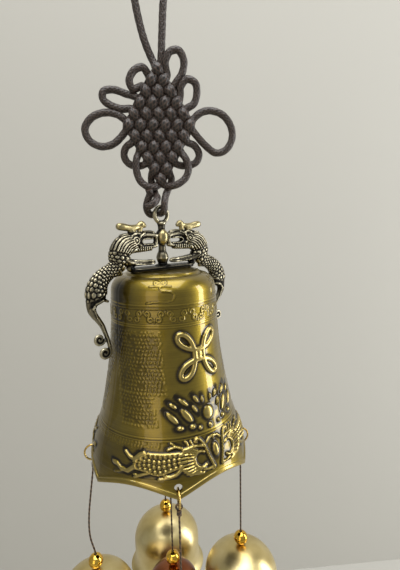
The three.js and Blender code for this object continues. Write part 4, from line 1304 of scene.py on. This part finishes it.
# Root and half width, then the curl's centre, start, turns, outer and inner radius
tailCurls = [
    ((29.8, -28), 0.75, (33.4, -28.2), 205, 1.3, 2.5, 0.5),
    ((28.8, -33), 0.8, (31.2, -34.5), 176, 1.45, 2.55, 0.5),
]
handleShape = {
    "baseLength": 34,
    "baseWidth": 8,
    "baseUnder": 89.7,
    "baseTop": 91.3,
    "plinth": 3.4,
    "postBelly": (2.9, 94.8),
    "postNeck": 1.6,
    "pearl": (2.5, 104.2, 3.6),
    "eyeHeight": 114.2,
    "eyeRadius": 3.45,
    "eyeWire": 1.9,
    "voxel": 0.00027,
    "scaleTurn": 30,
    "scaleRow": 0.36,
    "scaleRise": 0.34,
}


# A rod in the handle's plane, with its half width from each station, rounded at both ends
def castRod(name, stations, flat, side):
    top = handleShape["baseTop"]
    path = smoothPath([Vector((s * side, 0, top + z, r)) for s, z, r in stations], 0.5)
    first, last = path[0], path[-1]
    for end, beside, front in ((first, path[1], True), (last, path[-2], False)):
        outward = (end - beside).to_3d().normalized()
        for share in (0.5, 0.85, 0.98):
            place = end.to_3d() + outward * end[3] * share * min(flat, 1)
            rounded = Vector((*place, end[3] * sqrt(1 - share * share)))
            if front:
                path.insert(0, rounded)
            else:
                path.append(rounded)
    curve = bpy.data.curves.new(name, "CURVE")
    curve.dimensions = "3D"
    curve.bevel_depth = 0.001
    curve.bevel_resolution = 4
    curve.use_fill_caps = True
    spline = curve.splines.new("POLY")
    spline.points.add(len(path) - 1)
    for spot, station in zip(spline.points, path):
        spot.co = (*mm(*station[:3]), 1)
        spot.radius = station[3]
    rod = linkObject(name, curve)
    pick(rod)
    bpy.ops.object.convert(target="MESH")
    rod.scale.y = flat
    settle(rod)
    return rod


# Half thickness and height up the post
def postProfile(shape):
    base, top, plinth, neck = (shape[part] for part in ("baseUnder", "baseTop", "plinth", "postNeck"))
    belly, middle = shape["postBelly"]
    _, pearlHeight, pearlHalf = shape["pearl"]
    eyeFoot = shape["eyeHeight"] - shape["eyeRadius"]
    profile = [(0, base + 0.3), (plinth, base + 0.3), (plinth, top + 0.4), (1.9, top + 0.9)]
    profile += [(2.3, middle - 1.8), (belly, middle), (2.5, middle + 1.6), (1.8, middle + 3)]
    profile += [(neck, pearlHeight - pearlHalf), (neck, pearlHeight + pearlHalf), (1.7, eyeFoot - 1.2)]
    return profile + [(2.2, eyeFoot - 0.2), (neck, eyeFoot + 0.5), (0, eyeFoot + 0.6)]


def makeHandle(shape):
    parts = []
    for side in (-1, 1):
        parts += [castRod(name, stations, flat, side) for name, (flat, stations) in dragonRods.items()]
        for root, wire, *spiral in tailCurls:
            stations = [(*spot, wire) for spot in (root, *curl(*spiral, 16))]
            parts.append(castRod("TailCurl", stations, 1, side))
    half = shape["baseWidth"] / 2
    reach = shape["baseLength"] / 2 - half
    middle, thickness = (shape["baseUnder"] + shape["baseTop"]) / 2, shape["baseTop"] - shape["baseUnder"]
    ends = {"vertices": 64, "radius": half * 0.001, "depth": thickness * 0.001}
    for side in (-1, 1):
        parts.append(addMesh("cylinder", "BaseEnd", location=mm(side * reach, 0, middle), **ends))
    plate = addMesh("cube", "BasePlate", size=0.001, location=mm(0, 0, middle))
    plate.scale = (2 * reach, 2 * half, thickness)
    settle(plate)
    pearl, pearlHeight, pearlHalf = shape["pearl"]
    turns = [radians(angle) for angle in range(0, 181, 10)]
    post = spinProfile("Post", postProfile(shape), steps=48)
    settle(post, mm(0, 0, 0))
    ball = spinProfile("Pearl", [(pearl * sin(turn), -pearlHalf * cos(turn)) for turn in turns], steps=48)
    settle(ball, mm(0, 0, pearlHeight))
    upright = {"location": mm(0, 0, shape["eyeHeight"]), "rotation": (pi / 2, 0, 0)}
    eye = addTorus("Eye", shape["eyeRadius"], shape["eyeWire"] / 2, 64, 20, **upright)
    settle(eye)
    parts += [plate, post, ball, eye]
    deselectAll()
    for part in parts:
        part.select_set(True)
    bpy.context.view_layer.objects.active = parts[0]
    bpy.ops.object.join()
    handle = bpy.context.object
    handle.name = "DragonHandle"
    applyModifier(handle, "REMESH", mode="VOXEL", voxel_size=shape["voxel"], use_smooth_shade=True)
    applyModifier(handle, "SMOOTH", factor=0.5, iterations=2)
    return handle


# Lines and knobs raised on both faces of a dragon, by distance and height over the base
faceStrokes = [
    # half width, height, then the stroke
    (0.45, 0.45, [(12.3, 14.8), (14.4, 15.2), (16.8, 14)]),
    (0.35, 0.35, [(9.8, 15.2), (12, 14.2), (13, 12.9)]),
    (0.35, 0.3, [(12.4, 9.8), (13.6, 11)]),
    (0.3, 0.3, [(5.2, 1.5), (10, 1.4), (15.4, 1.9)]),
    (0.3, 0.3, [(5.2, 2.7), (10, 2.9), (15.8, 3.6)]),
    (0.5, 0.35, [(28.8, -12.6), (31.6, -11.6), (34.6, -12.6), (36, -14.6)]),
    (0.3, 0.3, [(35.7, -15), (34.3, -18.6), (32.2, -22), (31, -25.4), (30, -28.4), (29.2, -31.6)]),
    (0.35, 0.3, [(23.2, -1.2), (25.6, -0.4), (27.2, -1.6)]),
]
eyeSpot = (14.7, 12.1)
pearlSpot = (0, 12.9)


def strandBetween(first, last, bulge):
    spots = []
    for k in range(7):
        share = k / 6
        lift = bulge * 4 * share * (1 - share)
        x, y = (mix(start, end, share) for start, end in zip(first, last))
        spots.append((x + lift * 0.45, y + lift * 0.9))
    return spots


def raiseFaces(field):
    for halfWidth, height, spots in faceStrokes:
        raiseStroke(field, spots, halfWidth, height)
    raiseOval(field, pearlSpot, 2.8, 3.5, lean=0, height=0.7)
    raiseStroke(field, curl(eyeSpot, 0, 1, 1.45, 1.45), halfWidth=0.42, height=0.45)
    raiseOval(field, eyeSpot, 0.75, 0.75, lean=0, height=0.6)
    # Strands of the mane and the beard
    for k in range(9):
        share = k / 8
        start = (mix(18.4, 13.6, share), mix(14.9, 8.9, share))
        end = (mix(26.3, 17.6, share), mix(9.1, 6.3, share))
        raiseStroke(field, strandBetween(start, end, mix(1.7, 0.4, share)), halfWidth=0.42, height=0.5)
        raiseStroke(field, [(7 + 1.1 * k, 9), (6.6 + 1.15 * k, 6.8)], halfWidth=0.34, height=0.4)
    for k in range(4):
        raiseOval(field, (16.4 + 1.2 * k, 12.6 - 0.9 * k), 0.5, 0.5, lean=0, height=0.3)


# Scales lie in rows across the body and wrap round it; rows are spaced by the body's own width
def raiseScales(places, shape):
    flat, stations = dragonRods["body"]
    path = smoothPath([Vector(station) for station in stations], 0.25)
    spine = np.array([tuple(station) for station in path])
    steps = np.diff(spine, axis=0)
    travelled = np.concatenate(([0], np.cumsum(np.hypot(steps[:, 0], steps[:, 1]) / spine[1:, 2])))
    tangent = np.gradient(spine[:, :2], axis=0)
    tangent /= np.linalg.norm(tangent, axis=1, keepdims=True)
    across, height = np.abs(places[:, 0]), places[:, 2]
    rise = np.zeros(len(places))
    near = np.nonzero((across > 16) & (across < 40) & (height < 8) & (height > -17))[0]
    offsets = np.stack([across[near], height[near]], axis=1)[:, None, :] - spine[None, :, :2]
    closest = np.argmin(np.sum(offsets**2, axis=2), axis=1)
    offset = offsets[np.arange(len(near)), closest]
    side = offset[:, 0] * tangent[closest, 1] - offset[:, 1] * tangent[closest, 0]
    width = spine[closest, 2]
    depth = places[near, 1] / flat
    around = np.degrees(np.arctan2(np.abs(depth), side))
    row = travelled[closest] / shape["scaleRow"]
    number = np.floor(row)
    column = around / shape["scaleTurn"] + 0.5 * (number % 2)
    u, v = row - number - 0.5, column - np.floor(column) - 0.5
    dome = np.sqrt(np.clip(1 - (u / 0.48) ** 2 - (v / 0.47) ** 2, 0, 1))
    length = travelled[-1]
    ends = between(travelled[closest], (0.75, 1), (length - 0.3, length))
    onBody = (np.abs(side) < width * 1.05) & (np.hypot(side, depth) < width * 1.12)
    rise[near] = dome * ends * onBody * shape["scaleRise"]
    return rise


# How far each point stands out from its neighbourhood, in millimetres
def standingOut(places, normals, edges, rounds):
    count = np.bincount(edges.ravel(), minlength=len(places))[:, None]
    level = places.copy()
    for _ in range(rounds):
        total = np.zeros_like(level)
        for axis in range(3):
            total[:, axis] = np.bincount(edges[:, 0], level[edges[:, 1], axis], len(places))
            total[:, axis] += np.bincount(edges[:, 1], level[edges[:, 0], axis], len(places))
        level = total / count
    return np.sum((places - level) * normals, axis=1)


def normalsOf(piece):
    normals = np.empty(len(piece.data.vertices) * 3)
    piece.data.vertex_normals.foreach_get("vector", normals)
    return normals.reshape(-1, 3)


def carveHandle(handle, shape):
    origin = (0, 0, shape["baseTop"] - hangHeight)
    places = placesOf(handle) * 1000 - origin
    normals = normalsOf(handle)
    field = flatField(np.abs(places[:, 0]), places[:, 2])
    raiseFaces(field)
    facing = smoothStep(0.25, 0.6, np.abs(normals[:, 1]))
    rise = np.maximum(field["rise"] * facing, raiseScales(places, shape))
    places += normals * rise[:, None]
    handle.data.vertices.foreach_set("co", ((places + origin) * 0.001).ravel())
    handle.data.update()
    normals = normalsOf(handle)
    edges = np.empty(len(handle.data.edges) * 2, dtype=np.int64)
    handle.data.edges.foreach_get("vertices", edges)
    edges = edges.reshape(-1, 2)
    # Fine detail weighs more than the broad forms
    wash = 0
    for rounds, weight in ((6, 0.75), (40, 0.45)):
        level = standingOut(places, normals, edges, rounds)
        wash = wash + level / np.percentile(np.abs(level), 90) * weight
    # The base, and what lies within about a millimetre over its top, is made darker
    across, height = np.abs(places[:, 0]), places[:, 2]
    wash -= 0.9 * (1 - smoothStep(0.4, 1.2, height)) * (1 - smoothStep(17, 18, across))
    addAttribute(handle, "wear", smoothStep(-0.1, 1.2, wash))
    addAttribute(handle, "soot", smoothStep(-0.25, 0.5, 0.15 - wash))
    # Horns and pearl are rubbed bright, apart from their hollows
    horn = smoothStep(15.6, 16.4, height) * between(across, (8, 9), (22.6, 23.2))
    pearl = 1 - smoothStep(0.8, 1, np.hypot(across / 2.9, (height - pearlSpot[1]) / 3.7))
    pearl *= smoothStep(0.1, 0.5, np.abs(normals[:, 1]))
    bright = np.maximum(horn * smoothStep(-2.6, -1.6, wash), pearl * smoothStep(-1.6, -0.5, wash))
    addAttribute(handle, "polish", bright)


dragonHandle = makeHandle(handleShape)
carveHandle(dragonHandle, handleShape)
print("handle cast,", len(dragonHandle.data.polygons), "faces")
# Cast brass blackened all over and rubbed back: gun black in the hollows, grey gold on what stands out
blackenedBrass = makeWashedMetal(
    "BlackenedCastBrass",
    [(0, "#0A0A08"), (0.3, "#1A1815"), (0.55, "#403C33"), (0.8, "#807964"), (1, "#B0A88E")],
    "#A09369",
    (0.3, 0.5),
    0.04,
    0.15,
)
dress(dragonHandle, "bell", "dark_bronze", blackenedBrass, "dragon_handle")
# Zinc plated steel: pale grey, satin
zincSteel = makeMetal("ZincPlatedSteel", ("#95938C", "#B4B2AA"), (0.28, 0.42), 0.008)
for node in ("fixing_bolt", "washer"):
    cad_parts[node].data.materials.clear()
    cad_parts[node].data.materials.append(zincSteel)


# Stage and lights
roomSize = 6
wallPlace = (0.26, 0.371, 0)
floor = addMesh("plane", "Floor", size=roomSize, location=(0, 0, -0.75))
wall = addMesh("plane", "Wall", size=roomSize, location=wallPlace)
settle(wall, None, (pi / 2, 0, radians(cameraView["turn"])))
paint, _, paintShader = newMaterial("WallPaint")
setInputs(paintShader, {"Base Color": hexColor("#AFADA6"), "Roughness": 0.9})
for piece in (floor, wall):
    piece.data.materials.append(paint)


# azimuth counts from the relief's middle, in degrees; distance and size are in metres
def softLight(name, azimuth, elevation, distance, size, power, tint="#FFFFFF"):
    turn, lift = radians(azimuth), radians(elevation)
    direction = Vector((sin(turn) * cos(lift), -cos(turn) * cos(lift), sin(lift)))
    target = mm(0, 0, 60)
    bpy.ops.object.light_add(type="AREA", location=target + direction * distance)
    lamp = bpy.context.object
    lamp.name = name
    lamp.data.shape = "RECTANGLE"
    lamp.data.size, lamp.data.size_y = size
    lamp.data.energy = power
    lamp.data.color = hexColor(tint)[:3]
    lamp.rotation_euler = direction.to_track_quat("Z", "Y").to_euler()


softLight("WindowLight", 51, 2, 1.2, (0.3, 1.3), 12)
softLight("RoomLight", -60, 8, 1.5, (0.7, 1.3), 4.2, "#FFEFD6")
softLight("TopLight", -32, 76, 1.4, (1.5, 1.5), 32)
world = bpy.data.worlds.new("Studio")
world.use_nodes = True
setInputs(world.node_tree.nodes["Background"], {"Color": hexColor("#D0D4D3"), "Strength": 0.6})
bpy.context.scene.world = world
bpy.context.scene.view_settings.view_transform = "Standard"
